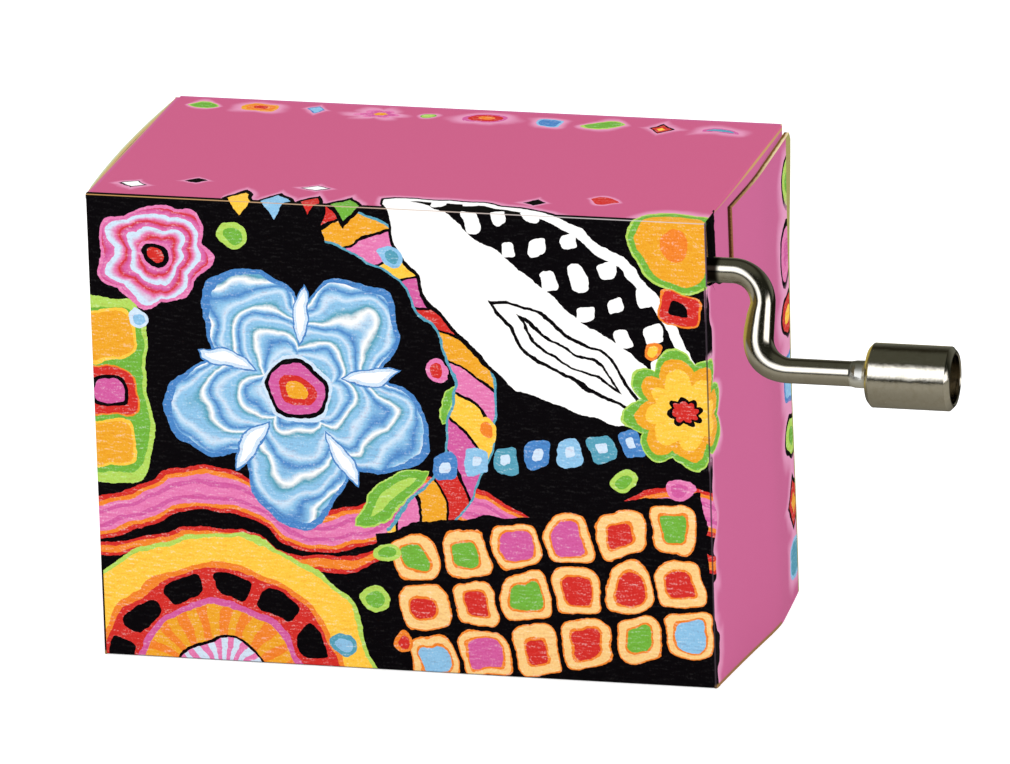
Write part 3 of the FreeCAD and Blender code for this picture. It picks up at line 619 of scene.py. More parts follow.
class Print(Network):
    """The material of a printed wall: motifs painted one over another on its ground."""

    def __init__(self, name, ground, glowing=True):
        super().__init__(name)
        self.glowing = glowing
        place = self.node("Attribute", attribute_name="sheet").outputs["Vector"]
        self.flat = self.vector("MULTIPLY", place, (1, 1, 0))
        self.u, self.v, self.ply = self.split(place)
        wander = self.noise(self.flat, 0.22, 1, out="Color")
        shake = self.noise(self.flat, 1.3, 2, out="Color")
        drift = self.vector("MULTIPLY_ADD", wander, (2.2, 2.2, 0), self.flat)
        drift = self.vector("MULTIPLY_ADD", shake, (0.36, 0.36, 0), drift)
        self.spot = self.vector("SUBTRACT", drift, (1.28, 1.28, 0))
        self.colour = ink(ground)
        self.painted = 0.0 if glowing else 1.0

    # Places
    def at(self, u, v, wide, tall=None, lean=0):
        """The way from a motif's middle to each point, in the motif's own half sizes."""
        size = (wide, tall or wide, 1)
        return self.mapped(self.spot, (u, v, 0), (0, 0, math.radians(lean)), size, "TEXTURE")

    def repeat(self, at, inks):
        """Repeats a motif along its own X, with the next of a list of inks for each."""
        along, up, _ = self.split(at)
        cell = self.node("CombineXYZ", self.line(self.math("FRACT", along), 2, -1), up).outputs[0]
        step = self.math("ADD", self.math("FLOOR", along), 0.5)
        return cell, self.cycle(self.math("DIVIDE", step, len(inks)), inks)

    def cycle(self, value, names, kind="CONSTANT"):
        """A colour that runs through a list of inks each time a value grows by one."""
        stops = [(place / len(names), ink(name)) for place, name in enumerate(names)]
        return self.ramp(self.math("FRACT", value), stops, kind)

    # Shapes: each is 0 in its middle and 1 at its outline
    def disc(self, at):
        return self.vector("LENGTH", at)

    def diamond(self, at):
        return self.vector("DOT_PRODUCT", self.vector("ABSOLUTE", at), (1, 1, 0))

    def tile(self, at):
        square = self.vector("MULTIPLY", at, at)
        return self.math("POWER", self.vector("DOT_PRODUCT", square, square), 0.25)

    def leaf(self, at):
        along, up, _ = self.split(at)
        return self.line(along, along, self.size(up))

    def dome(self, at):
        return self.math("MAXIMUM", self.disc(at), self.less(1, self.split(at)[1]))

    def angle(self, at):
        """How far round a motif each point lies, from 0 to 1."""
        along, up, _ = self.split(at)
        return self.line(self.math("ARCTAN2", up, along), 1 / math.tau, 0.5)

    def flower(self, at, petals=6, depth=0.3):
        wave = self.math("COSINE", self.both(self.angle(at), math.pi * petals))
        return self.math("DIVIDE", self.disc(at), self.line(self.size(wave), depth, 1 - depth))

    # Painting
    def cover(self, mask, colour, blend="MIX"):
        """Covers what a mask shows with a colour that isn't pencil."""
        self.colour = self.mix(mask, self.colour, colour, blend)

    def lay(self, colour, mask):
        """Covers what a mask shows with one colour of pencil."""
        self.cover(mask, colour)
        self.painted = self.math("MAXIMUM", self.painted, mask)

    def paint(self, measure, bands, within=None, glow=0.3):
        """Paints a motif's rings, from its middle outwards; past 1 the ground shows."""
        if self.glowing and glow:
            self.cover(self.fade(measure, 1 + glow, 1, 0, 0.85), "glow")
        added = self.node("ValToRGB", measure)
        ramp = added.color_ramp
        ramp.interpolation = "CONSTANT"
        ramp.elements[0].color = (*ink(bands[0][1]), 1)
        ramp.elements[1].color = (0, 0, 0, 0)
        for start, name in bands[1:]:
            ramp.elements.new(start).color = (*ink(name), 1)
        mask = added.outputs["Alpha"]
        self.lay(added.outputs["Color"], mask if within is None else self.both(mask, within))

    def motif(self, form, place, bands, glow=0.3):
        """Paints a motif of one form at its place."""
        self.paint(getattr(self, form)(self.at(*place)), bands, glow=glow)

    def contours(self, measure, count, names):
        """A colour that repeats a list of inks from line to line of a motif."""
        ripple = self.both(self.noise(self.flat, 0.16, 1), 2.2)
        return self.cycle(self.line(measure, count, ripple), names, "LINEAR")

    def crease(self, value, place, width, colour, strength=1.0, also=None):
        """Wears a fold of the print to another colour."""
        away = self.math("DIVIDE", self.size(self.less(value, place)), width)
        marked = self.fade(away, 1, 0.5, 0, strength)
        self.cover(marked if also is None else self.both(marked, also), colour)

    def pencil(self):
        """Lets paper show through the pencil strokes, and darkens them where they are pressed."""
        strokes = self.noise(self.stretched(self.flat, (0.6, 3.0, 1), 0.62), 1.3, 3, 0.6)
        tooth = self.noise(self.flat, 5.0, 2, 0.6)
        grain = self.line(strokes, 0.55, self.both(tooth, 0.45))
        level = self.node("RGBToBW", self.colour).outputs[0]
        marked = self.both(self.fade(level, 0.0, 0.12, 0.035, 1), self.painted)
        inked = self.both(self.fade(level, 0.93, 0.75), self.painted)
        self.cover(self.both(self.fade(grain, 0.52, 0.68, 0, 0.34), marked), (1, 0.97, 0.94))
        self.cover(self.both(self.fade(grain, 0.5, 0.36, 0, 0.6), inked), (0.86, 0.62, 0.66), "MULTIPLY")

    def board(self, outer="core_light", inner="core_dark", black=None):
        """Adds the cut edges and the inside of the board, its grain and its sheen."""
        side = self.node("Attribute", attribute_name="side").outputs["Fac"]
        fibre = self.noise(self.stretched(self.flat, (1.2, 6, 1)), 1, 3, 0.65)
        depth = self.line(fibre, 0.5, self.less(self.ply, 0.25))
        core = self.mix(self.fade(depth, 0.25, 0.6), outer, inner)
        if black is not None:
            core = self.mix(black, core, "black")
        liner = self.mix(self.fade(fibre, 0.3, 0.7, 0, 0.35), "liner", "core_light")
        self.cover(self.below(0.5, side), core)
        self.cover(self.below(1.5, side), liner)
        paper = self.noise(self.flat, 7, 3, 0.6)
        return self.shader(
            base_color=self.colour,
            roughness=self.fade(paper, 0.3, 0.7, 0.5, 0.62),
            normal=self.bump(paper, 0.6, 3e-6),
            specular_ior_level=0.06,
        )


def rings(names, reach):
    """Rings of even width from a list of inks, the last of which starts at the reach."""
    return [(reach * place / max(1, len(names) - 1), name) for place, name in enumerate(names)]


# Motifs, each at its place on the printed sheet
def harlequin_leaf(net):
    """A large white leaf, checked on one side, that runs over the top fold."""
    leaf = net.at(14.5, 37.2, 20.5, 8.8, -36)
    shape = net.leaf(leaf)
    net.paint(shape, [(0, "paper"), (0.95, "black")], glow=0.12)
    checked = net.both(net.below(shape, 0.84), net.below(0.12, net.split(leaf)[1]))
    net.lay("black", checked)
    cells = net.vector("FRACTION", net.at(0, 0, 3.0, 3.4, 12))
    windows = net.tile(net.vector("MULTIPLY_ADD", cells, (3.6, 3.6, 0), (-1.8, -1.8, 0)))
    net.lay("paper", net.both(checked, net.below(windows, 0.95)))
    veins = [(0, "paper"), (0.3, "black"), (0.42, "paper"), (0.84, "black")]
    net.motif("leaf", (16.5, 32.2, 9.5, 2.2, -36), veins, 0)


def blue_flower(net):
    """A large light blue flower of five petals, drawn in contour lines."""
    u, v, lean = -10, 27.4, 14
    shape = net.flower(net.at(u, v, 13.2, lean=lean), 5, 0.38)
    names = ("sky", "pale", "sky", "blue", "sky", "paper", "teal", "sky")
    net.lay("blue", net.below(shape, 1.02))
    net.lay(net.contours(shape, 3.6, names), net.below(shape, 0.97))
    heart = [(0, "amber"), (0.3, "red"), (0.5, "magenta"), (0.78, "black"), (0.9, "pale")]
    net.motif("disc", (u, v, 3.3), heart, 0)
    for vein_lean in range(lean + 36, lean + 396, 72):
        way = math.radians(vein_lean)
        place = (u - 7.4 * math.cos(way), v - 7.4 * math.sin(way), 3.2, 0.9, vein_lean)
        net.motif("leaf", place, [(0, "paper"), (0.5, "pale"), (0.82, "blue")], 0)


def garland(net):
    """A striped garland in an arc round the blue flower."""
    at = net.at(-10, 27.4, 17.2, lean=100)
    out = net.disc(at)
    away = net.size(net.less(out, 1))
    around = net.angle(at)
    within = net.both(net.below(away, 0.13), net.between(around, 0.06, 0.44))
    slant = net.line(out, 0.13, around)
    net.lay("teal", within)
    inner = net.both(within, net.below(away, 0.115))
    net.lay(net.cycle(net.both(slant, 6.4), ("yellow", "rose", "amber", "red", "magenta")), inner)
    seams = net.below(net.math("FRACT", net.both(slant, 32)), 0.11)
    net.lay("black", net.both(inner, seams))


def fan(net):
    """Rings of colour round a half disc, like an open fan."""
    at = net.at(-18.5, -2.5, 15.5)
    away = net.disc(at)
    bands = [
        (0, "sky"), (0.14, "black"), (0.17, "rose"), (0.3, "black"), (0.32, "amber"),
        (0.52, "magenta"), (0.56, "red"), (0.76, "orange"), (0.8, "yellow"), (0.97, "lime"),
    ]
    net.paint(away, bands, glow=0.12)
    around = net.angle(at)
    blades = net.below(net.math("FRACT", net.both(around, 22)), 0.5)
    net.lay("pale", net.both(blades, net.between(away, 0.17, 0.3)))
    net.lay("orange", net.both(blades, net.between(away, 0.32, 0.52)))
    turn = net.line(net.math("FRACT", net.both(around, 13)), 2.7, -1.35)
    out = net.math("DIVIDE", net.less(away, 0.66), 0.075)
    net.paint(net.tile(net.node("CombineXYZ", turn, out).outputs[0]), [(0, "black")], glow=0)


def tiles(net):
    """A leaning panel of cream tiles with coloured middles."""
    at = net.at(14.2, 8.4, 1, lean=9)
    along, up, _ = net.split(net.vector("ABSOLUTE", at))
    panel = net.both(net.below(along, 15.3), net.below(up, 7.8))
    net.lay("black", net.both(net.below(along, 16), net.below(up, 8.4)))
    cells = net.vector("DIVIDE", net.vector("ADD", at, (15.3, 7.8, 0)), (5.1, 5.2, 1))
    number = net.vector("FLOOR", cells)
    chance = net.node("TexWhiteNoise", number, noise_dimensions="2D").outputs[0]
    spot = net.vector("MULTIPLY_ADD", net.vector("FRACTION", cells), (2.2, 2.2, 0), (-1.1, -1.1, 0))
    shape = net.tile(spot)
    net.paint(shape, [(0, "cream"), (0.94, "orange")], panel, glow=0)
    size = net.line(chance, 0.25, 0.42)
    middles = [(0, "red"), (0.5, "green"), (0.62, "red"), (0.8, "sky"), (0.9, "magenta")]
    net.lay("orange", net.both(panel, net.below(shape, net.math("ADD", size, 0.09))))
    colour = net.ramp(chance, [(start, ink(name)) for start, name in middles])
    net.lay(colour, net.both(panel, net.below(shape, size)))


def ribbons(net):
    """A wide and a narrow waving ribbon from the left edge to the right."""
    along, up, _ = net.split(net.spot)
    wave = net.math("SINE", net.line(along, 0.27, 0.6))
    for low, swing, width, names in (
        (15.6, 2.0, 2.2, ("rose", "magenta", "rose", "orange", "red")),
        (11.6, 1.3, 0.75, ("orange", "red")),
    ):
        level = net.less(up, net.line(wave, swing, low))
        away = net.math("DIVIDE", net.size(level), width)
        net.paint(away, rings(names, 1 - 1 / len(names)), glow=0)


def rosette(net):
    """A round rose of contour lines in the top left corner."""
    shape = net.flower(net.at(-23.6, 40.2, 5.8, 5.2, 20), 7, 0.12)
    net.lay("rose", net.below(shape, 1))
    lines = net.contours(shape, 3.4, ("rose", "magenta", "red", "rose", "pale"))
    net.lay(lines, net.below(shape, 0.94))
    net.motif("disc", (-23.6, 40.2, 1.7, 1.4), [(0, "red"), (0.5, "black"), (0.8, "rose")], 0)


def column(net):
    """Blocks stacked along the left edge, in a green surround."""
    middle = [(0, "magenta"), (0.5, "black"), (0.64, "red"), (0.94, "orange")]
    outer = [(0, "amber"), (0.9, "yellow")]
    net.motif("tile", (-28.6, 26.6, 4.1, 9.2), [(0, "green"), (0.9, "lime")], 0)
    net.motif("tile", (-29.0, 32.0, 3.1, 2.7, 8), outer, 0)
    net.motif("tile", (-28.8, 26.4, 3.2, 2.6, -6), middle, 0)
    net.motif("tile", (-29.0, 21.1, 3.0, 2.3, 5), outer, 0)


def string_of_tiles(net):
    """Small blue tiles on a leaning line."""
    cell, colour = net.repeat(net.at(2.6, 20.6, 3.1, 1.35, 9), ("blue", "sky", "teal"))
    shape = net.tile(net.vector("MULTIPLY", cell, (1.3, 1, 1)))
    within = net.both(net.between(net.split(net.spot)[0], 3, 24.2), net.below(shape, 1))
    net.lay(colour, within)
    net.lay("pale", net.both(within, net.below(shape, 0.4)))


def daisy(net):
    """A flower of eight petals that runs over the right fold."""
    bands = [(0, "red"), (0.2, "black"), (0.27, "yellow"), (0.62, "amber"), (0.82, "green"), (0.96, "lime")]
    net.paint(net.flower(net.at(27.6, 27.4, 6.0, lean=10), 8, 0.26), bands, glow=0.2)


def bunting(net):
    """A row of diamonds across the top fold."""
    names = ("yellow", "sky", "red", "green", "rose", "cream")
    cell, colour = net.repeat(net.at(-17, 46.4, 3.5, 2.9), names)
    within = net.between(net.split(net.spot)[0], -17, -3)
    shape = net.diamond(cell)
    if net.glowing:
        net.cover(net.both(net.fade(shape, 1.5, 1, 0, 0.8), within), "glow")
    net.lay("black", net.both(within, net.below(shape, 0.98)))
    net.lay(colour, net.both(within, net.below(shape, 0.68)))


def corner_blocks(net):
    """An amber dome and its red neighbour in the top right corner, over the fold."""
    dome = [(0, "orange"), (0.3, "amber"), (0.8, "green"), (0.94, "lime")]
    net.motif("disc", (27.2, 43.8, 4.6, 5.0), dome)
    net.motif("tile", (27.4, 37.2, 2.2, 1.7, -10), [(0, "black"), (0.4, "red"), (0.9, "orange")])


def trinkets(net, row, way=1, shift=0.0):
    """Small motifs one after another, each of a form of its own."""
    for u, v, wide, tall, form, *names in row:
        net.motif(form, (u * way, v + shift, wide, tall), rings(names, 0.8), 0.75)


def scattered(net):
    """Round and oval dots with a pale rim."""
    for u, v, wide, tall, *names in SCATTER:
        net.motif("disc", (u, v, wide, tall), rings(names, 0.62), 0.4)


SCATTER = (
    (-3.4, 7.0, 1.6, 1.4, "green", "lime"),
    (-1.8, 11.6, 1.3, 1.2, "green", "lime"),
    (-6.2, 2.4, 1.3, 1.2, "sky", "teal"),
    (-0.6, 3.0, 1.0, 1.0, "red", "orange"),
    (8.4, 24.6, 1.1, 1.1, "orange", "yellow"),
    (21.4, 20.2, 1.3, 1.2, "green", "lime"),
    (27.0, 19.6, 1.4, 1.1, "magenta", "rose"),
    (-16.2, 42.4, 1.4, 1.3, "green", "lime"),
    (-25.6, 34.0, 1.0, 1.0, "sky", "pale"),
    (-0.4, 41.4, 1.3, 1.2, "teal", "sky"),
    (3.6, 30.0, 1.0, 1.2, "red", "rose"),
    (24.8, 33.2, 0.9, 0.9, "yellow", "orange"),
)

TOP_ROW = (
    (-27.0, 75.4, 1.5, 1.1, "leaf", "green", "lime"),
    (-21.4, 75.2, 1.8, 1.2, "tile", "red", "orange", "amber"),
    (-15.6, 75.4, 1.3, 1.3, "diamond", "sky", "blue"),
    (-9.4, 75.0, 2.2, 1.6, "flower", "amber", "magenta", "rose"),
    (-4.2, 75.4, 0.8, 0.7, "disc", "lime", "green"),
    (1.2, 75.0, 2.4, 1.4, "disc", "orange", "red", "magenta"),
    (7.6, 75.0, 1.4, 1.1, "tile", "blue", "sky"),
    (13.2, 74.8, 2.1, 1.5, "leaf", "green", "lime"),
    (18.9, 74.8, 1.5, 1.5, "diamond", "yellow", "red", "black"),
    (24.4, 74.2, 1.9, 1.6, "dome", "sky", "teal", "magenta"),
)

TOP_SPRINKLE = (
    (-26.4, 49.6, 1.5, 1.0, "diamond", "paper", "black"),
    (-20.8, 51.6, 1.1, 0.8, "diamond", "black"),
    (-8.8, 51.4, 1.3, 0.9, "diamond", "paper", "black"),
    (12.6, 49.8, 1.2, 0.9, "diamond", "black"),
    (18.8, 51.4, 1.6, 0.9, "leaf", "red"),
)

END_COLUMN = (
    (59.6, 41.0, 2.9, 2.6, "disc", "green", "lime", "black"),
    (59.2, 34.4, 3.3, 3.4, "disc", "magenta", "rose", "black"),
    (58.8, 27.8, 3.4, 2.3, "disc", "yellow", "red", "black"),
    (58.4, 21.8, 2.8, 2.4, "tile", "sky", "blue"),
    (58.2, 16.0, 3.2, 2.3, "disc", "green", "lime", "black"),
    (57.8, 9.6, 3.4, 2.8, "diamond", "amber", "red", "black"),
    (57.4, 4.0, 2.8, 1.9, "tile", "teal", "sky"),
)


def printed_front():
    """Black ground crowded with motifs."""
    net = Print("Printed front", "black", glowing=False)
    ribbons(net)
    fan(net)
    leaf = [(0, "lime"), (0.4, "green"), (0.9, "lime")]
    net.motif("leaf", (-1.2, 17.4, 4.8, 1.6, 38), leaf)
    net.motif("leaf", (5.6, 27.6, 3.6, 1.3, 70), leaf)
    for motif in (
        column, rosette, garland, blue_flower, harlequin_leaf, string_of_tiles,
        tiles, corner_blocks, daisy, bunting, scattered,
    ):
        motif(net)
    net.pencil()
    tan = net.mix(net.fade(net.u, -30, 24), (0.55, 0.3, 0.1), (0.55, 0.5, 0.5))
    net.crease(net.v, 46, 0.1, tan, 0.85)
    net.crease(net.v, -0.1, 0.22, "black", 0.9)
    return net.board((0.14, 0.09, 0.14), (0.08, 0.05, 0.08))


def printed_top():
    """Pink ground with motifs from the front and a row along the back."""
    net = Print("Printed top", "top")
    for motif in (rosette, harlequin_leaf, corner_blocks, bunting):
        motif(net)
    trinkets(net, TOP_ROW)
    trinkets(net, TOP_SPRINKLE)
    net.pencil()
    return net.board(black=net.both(net.below(28.6, net.u), net.below(net.v, 51)))


def printed_end(name, way, taper):
    """Pink ground with motifs from the front and a column along the back edge."""
    net = Print(name, "side")
    away = net.size(net.u)
    fold = 29.97 if way > 0 else 30.15
    over = net.less(away, net.fade(net.noise(net.flat, 0.16, 2), 0.4, 0.66, 0, 1.5))
    spilled = net.below(over, fold)
    net.lay("black", spilled)
    for motif in (ribbons, tiles, corner_blocks if way > 0 else column):
        motif(net)
    ground = net.mix(net.fade(over, fold + 1.3, fold, 0, 0.75), "side", "glow")
    net.cover(net.below(fold, over), ground)
    net.painted = net.both(net.painted, spilled)
    if way > 0:
        daisy(net)
    trinkets(net, END_COLUMN, way)
    net.pencil()
    net.crease(net.v, -0.05, 0.55, (0.3, 0.17, 0.05), 1, net.below(net.u, 49))
    if way > 0:
        net.crease(net.u, 29.93, 0.17, (0.045, 0.032, 0.042), 0.85)
        edge = net.line(net.v, taper / 45.5, 61.6 - taper)
        rim = net.fade(net.v, 28, 45, 0.5, 2.2)
        net.cover(net.below(net.less(edge, away), rim), (0.38, 0.35, 0.11))
    return net


def printed_right():
    """The right end, with painted shade on its cut edge: darker towards the front, and black beside the
    notch.
    """
    net = printed_end("Printed right end", 1, 2.9)
    # Painted shade: the cut edge is darker towards the front and black beside the notch
    pale = net.fade(net.u, 40, 57)
    outer = net.mix(pale, (0.34, 0.19, 0.07), "core_light")
    inner = net.mix(pale, (0.07, 0.025, 0.008), "core_dark")
    return net.board(outer, inner, net.fade(net.u, 37, 34.5))


def printed_left():
    """The left end, with a pale green cut edge."""
    return printed_end("Printed left end", -1, 0.0).board((0.58, 0.63, 0.4), (0.61, 0.46, 0.19))


def printed_back():
    """Pink ground with a row of motifs under the top fold and one above the bottom."""
    net = Print("Printed back", "side")
    trinkets(net, TOP_ROW, -1, 7.6)
    trinkets(net, TOP_ROW, 1, 43.4)
    net.pencil()
    net.crease(net.v, 78, 0.12, "core_light", 0.8)
    net.crease(net.v, 123.6, 0.16, "core_light", 0.8)
    return net.board()


def printed_bottom():
    """Pink ground with the front's black folded under its edge."""
    net = Print("Printed bottom", "side")
    net.cover(net.below(-1.1, net.math("ADD", net.v, net.noise(net.flat, 0.5))), "black")
    net.crease(net.v, 0, 0.2, "core_light", 0.6)
    return net.board()


def printed_dust(name, side, above):
    """Pink ground, rubbed down to the board along the crease; painted shade, black, in front of and round
    the rod.
    """
    net = Print("Printed " + name.replace("_", " "), "side")
    fold = net.fade(net.v, 48, 54, 29.9, 30.1) if side > 0 and above else 29.72
    net.cover(net.below(net.size(net.u), fold), "top" if above else "side")
    if side < 0:
        net.crease(net.u, -30.5, 0.6, (0.6, 0.45, 0.18), 1)
        return net.board()
    net.crease(net.u, fold, net.fade(net.v, 48, 78, 0.08, 0.2), (0.56, 0.34, 0.12), 0.95)
    if not above:
        return net.board()
    # Painted shade: black in front of the rod and on the cut edges round its slot, for the dark inside of
    # the carton
    reach = net.math("ADD", net.fade(net.u, 30, 31.4, 49.75, 50.55), net.noise(net.flat, 0.8, 2))
    net.cover(net.both(net.below(net.v, reach), net.below(29.8, net.u)), "black")
    black = net.both(net.below(net.v, 52.2), net.below(net.u, 42))
    return net.board("side", "side", black)


def bare_board():
    """Unprinted board."""
    net = Print("Bare board", "liner")
    net.cover(net.fade(net.noise(net.flat, 0.8, 4, 0.6), 0.35, 0.65), "core_light")
    return net.board()


# Places of a point, in millimetres, on the printed sheet
def on_front(co):
    box = carton()
    along = co.y - box.front / MM
    return co.x, co.z + along if co.z > box.height / MM / 2 else co.z - along


def on_top(co):
    box = carton()
    return co.x, (box.height - box.front) / MM + co.y


def on_back(co):
    box = carton()
    round_fold = box.back / MM - co.y
    down = (2 * box.height + box.back - box.front) / MM - co.z
    return co.x, down - round_fold if co.z > box.height / MM / 2 else down + round_fold


def on_bottom(co):
    return co.x, carton().front / MM - co.y


def on_end(side):
    """Place on the printed sheet of a point of an end flap, on the left or the right."""

    def place(co):
        fold = carton().right / MM
        along = co.y - carton().front / MM
        return side * (abs(co.x) if along < 0.05 and abs(co.x) < fold else fold + along), co.z

    return place


def on_dust(side, above):
    """Place on the printed sheet of a point of a dust flap."""

    def place(co):
        box = carton()
        down = box.height / MM - co.z if above else co.z
        u = box.right / MM + down if down > 0.3 else abs(co.x)
        return side * u, (on_top(co) if above else on_bottom(co))[1]

    return place


# Walls and flaps
def finish(piece, body, node):
    """Puts a piece in its node's place."""
    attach(piece, body)
    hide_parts(node)


def make_board(piece, folds, raw, node, place, material):
    """Thickens a folded sheet, prints it and puts it in its node's place."""
    thicken(piece, folds, raw)
    lay_print(piece, place)
    dress(piece, material)
    finish(piece, "box", node)


class BuildFrontWall(bpy.types.Operator):
    """Front wall with its returns round the top and bottom folds"""

    bl_idname = "music_box.front_wall"
    bl_label = "Front wall"

    def execute(self, context):
        box = carton()
        left = box.left + box.end_return
        right = box.right - box.end_return
        tab = box.height - box.board
        piece = sheet("front_wall", (left, box.front, 0), (right, box.front, box.height), "-Y", (59, 46))
        edit(piece)
        score(piece, 2, box.step, lambda co: near(co.z, box.step, 2 * MM))
        extend(piece, lambda co: near(co.x, right) and co.z > box.step - HAIR, x=box.end_return)
        score(piece, 2, tab, lambda co: co.z > tab - MM and co.x < left + 2 * MM)
        extend(piece, lambda co: near(co.x, left) and co.z > tab - HAIR, x=-box.end_return)
        for height in (box.height, 0):
            extend(piece, on(z=height), y=box.fold_return)
        leave_edit()
        folds = [on(y=box.front, z=box.height), on(y=box.front, z=0)]
        make_board(piece, folds, on(x=box.right), "front_panel", on_front, printed_front())
        return DONE


class BuildTopWall(bpy.types.Operator):
    """Top wall with its tab in front of the dust flap"""

    bl_idname = "music_box.top_wall"
    bl_label = "Top wall"

    def execute(self, context):
        box = carton()
        inner = box.right - box.crease_inset
        front = box.front + box.fold_return
        back = box.back - box.fold_return
        tab = dust_front(box.height)
        piece = sheet("top_wall", (-inner, front, box.height), (inner, back, box.height), "+Z", (58, 30))
        edit(piece)
        score(piece, 1, tab, lambda co: near(co.y, tab, 2 * MM))
        extend(piece, lambda co: near(co.x, inner) and co.y < tab + HAIR, x=box.crease_inset)
        leave_edit()
        make_board(piece, [], on(x=box.right), "top_panel", on_top, printed_top())
        return DONE


class BuildBackWall(bpy.types.Operator):
    """Back wall with its folds to the top and to the glue tab, and its screw holes"""

    bl_idname = "music_box.back_wall"
    bl_label = "Back wall"

    def execute(self, context):
        box = carton()
        inner = box.right - 0.2 * MM
        low = box.board
        piece = sheet("back_wall", (-inner, box.back, low), (inner, box.back, box.height), "+Y", (60, 46))
        for x, z in self.screw_places():
            hole = [(across, box.back, up) for across, up in circle(x, z, box.screw_hole)]
            punch(piece, hole, (0, 1, 0))
        edit(piece)
        folds = [on(y=box.back, z=height) for height in (box.height, low)]
        for fold in folds:
            extend(piece, fold, y=-box.fold_return)
        leave_edit()
        make_board(piece, folds, lambda co: near(abs(co.x), inner), "back_panel", on_back, printed_back())
        return DONE

    def screw_places(self):
        """Where the mounting screws go through the wall: the middles of their washers."""
        low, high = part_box("mounting_washers")
        washer = 2.5 * MM
        lone_height = 27.2 * MM
        return (
            (low.x + washer, low.z + washer),
            (low.x + washer, high.z - washer),
            (high.x - washer, lone_height),
        )


class BuildBottomWall(bpy.types.Operator):
    """Bottom wall and the glue tab that lies on it"""

    bl_idname = "music_box.bottom_wall"
    bl_label = "Bottom wall"

    def execute(self, context):
        box = carton()
        inner = box.right - box.crease_inset
        front = box.front + box.fold_return
        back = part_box("bottom_panel")[1].y
        piece = sheet("bottom_wall", (-inner, front, 0), (inner, back, 0), "-Z", (58, 31))
        make_board(piece, [], on(y=back), "bottom_panel", on_bottom, printed_bottom())
        self.glue_tab()
        return DONE

    def glue_tab(self):
        """The tab, with a slanted corner at each end."""
        low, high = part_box("glue_tab")
        piece = sheet("glue_tab_strip", (low.x, low.y, low.z), (high.x, high.y, low.z), "-Z", (54, 11))
        ahead = low.y - MM
        for end in (-high.x, high.x):
            slant = math.copysign(3.3 * MM, end)
            punch(piece, [(end, high.y, 0), (end, ahead, 0), (end - slant, ahead, 0)], (0, 0, 1))

        def raw(co):
            return co.y < high.y - HAIR

        make_board(piece, [], raw, "glue_tab", on_bottom, bare_board())


# The notch's sill, as (y, z) in millimetres: a slope from the fold, then a hollow under the rod
SLOPE = ((-17, 39.9), (-12.5, 39.225))
HOLLOW = ((-13, 39.3), (-11.9, 38.8), (-10.7, 38.6), (-7, 38.5))


def dust_front(height):
    """Front edge of the right top dust flap at one height."""
    box = carton()
    return (-12.3 + 0.7 * (box.height - height) / (box.height - crank().axle_z)) * MM


def tent(y):
    """How far the right end flap bulges at one distance from the front, from 0 to 1."""
    box = carton()
    kink = 2.8 * MM
    edge = box.front if y < kink else box.flap_back
    rise = (y - edge) / (kink - edge)
    return min(rise, 0.93 + 0.4 * (rise - 0.93))


def standoff(y):
    """How far the right end flap stands off its fold at one distance from the front."""
    box = carton()
    return box.standoff * min(1, (y - box.front) / (16 * MM))


def left_gap(y):
    """How far the left end flap lies outside its fold at one distance from the front."""
    box = carton()
    way = (y - box.front) / (box.flap_back - box.front)
    return 4 * way * (1 - way) * box.left_bulge + 0.1 * MM * min(1, (y - box.front) / (3 * MM))


def fold_end(piece, x, side, node, material):
    """Takes an end flap round its fold and finishes it."""
    box = carton()
    edit(piece)
    extend(piece, on(y=box.front), x=-side * box.end_return)
    leave_edit()

    def raw(co):
        return co.y > box.front + 2 * HAIR

    make_board(piece, [on(x=x, y=box.front)], raw, node, on_end(side), material)


class BuildRightEndFlap(bpy.types.Operator):
    """Right end flap, notched for the crank and bulging outwards"""

    bl_idname = "music_box.right_end_flap"
    bl_label = "Right end flap"

    def execute(self, context):
        box = carton()
        x = box.right
        back = box.flap_back
        top = box.flap_top + box.flap_rise
        piece = sheet("right_flap", (x, box.front, 0), (x, back, top), "+X", (32, 45))
        self.bulge(piece, top)
        above = box.height + MM
        behind = back + MM
        foot = back - box.flap_taper
        corner = top - 0.9 * MM
        over = top + 0.1 * MM
        for sill in (SLOPE, HOLLOW):
            notch = [(y * MM, z * MM) for y, z in sill]
            punch_end(piece, x, notch + [(notch[-1][0], above), (notch[0][0], above)])
        for outline in (
            [(box.notch_back, box.flap_top), (behind, top + 0.02 * MM), (box.notch_back, top + MM)],
            [(foot, 0), (foot, -MM), (behind, -MM), (behind, top), (back, top)],
            [(back, corner), (behind, corner), (behind, over), (back - 0.7 * MM, over)],
        ):
            punch_end(piece, x, outline)
        fold_end(piece, x, 1, "right_end_flap", printed_right())
        piece.visible_diffuse = False
        return DONE

    def bulge(self, piece, top):
        """Bows the flap, more at its bottom, and stands it off the dust flaps."""
        box = carton()
        bow(piece, 1, lambda y: box.bulge_low * tent(y))

        def flatten(z):
            factor = 1 + z / top * (box.bulge_top / box.bulge_low - 1)
            bpy.ops.transform.resize(value=(factor, 1, 1), center_override=(box.right, 0, 0))

        by_row(piece, 2, flatten)
        bow(piece, 1, standoff)
        pull(piece, (box.right + box.standoff, box.flap_back, 0), 0.4 * MM, 26 * MM)
        pull(piece, (box.right + box.standoff, box.flap_back, box.height), 0.25 * MM, 14 * MM)


class BuildLeftEndFlap(bpy.types.Operator):
    """Left end flap, whole and bulging outwards"""

    bl_idname = "music_box.left_end_flap"
    bl_label = "Left end flap"

    def execute(self, context):
        box = carton()
        x = box.left
        top = box.height - 0.15 * MM
        piece = sheet("left_flap", (x, box.front, 0), (x, box.flap_back, top), "-X", (32, 45))
        bow(piece, -1, left_gap)
        fold_end(piece, x, -1, "left_end_flap", printed_left())
        return DONE


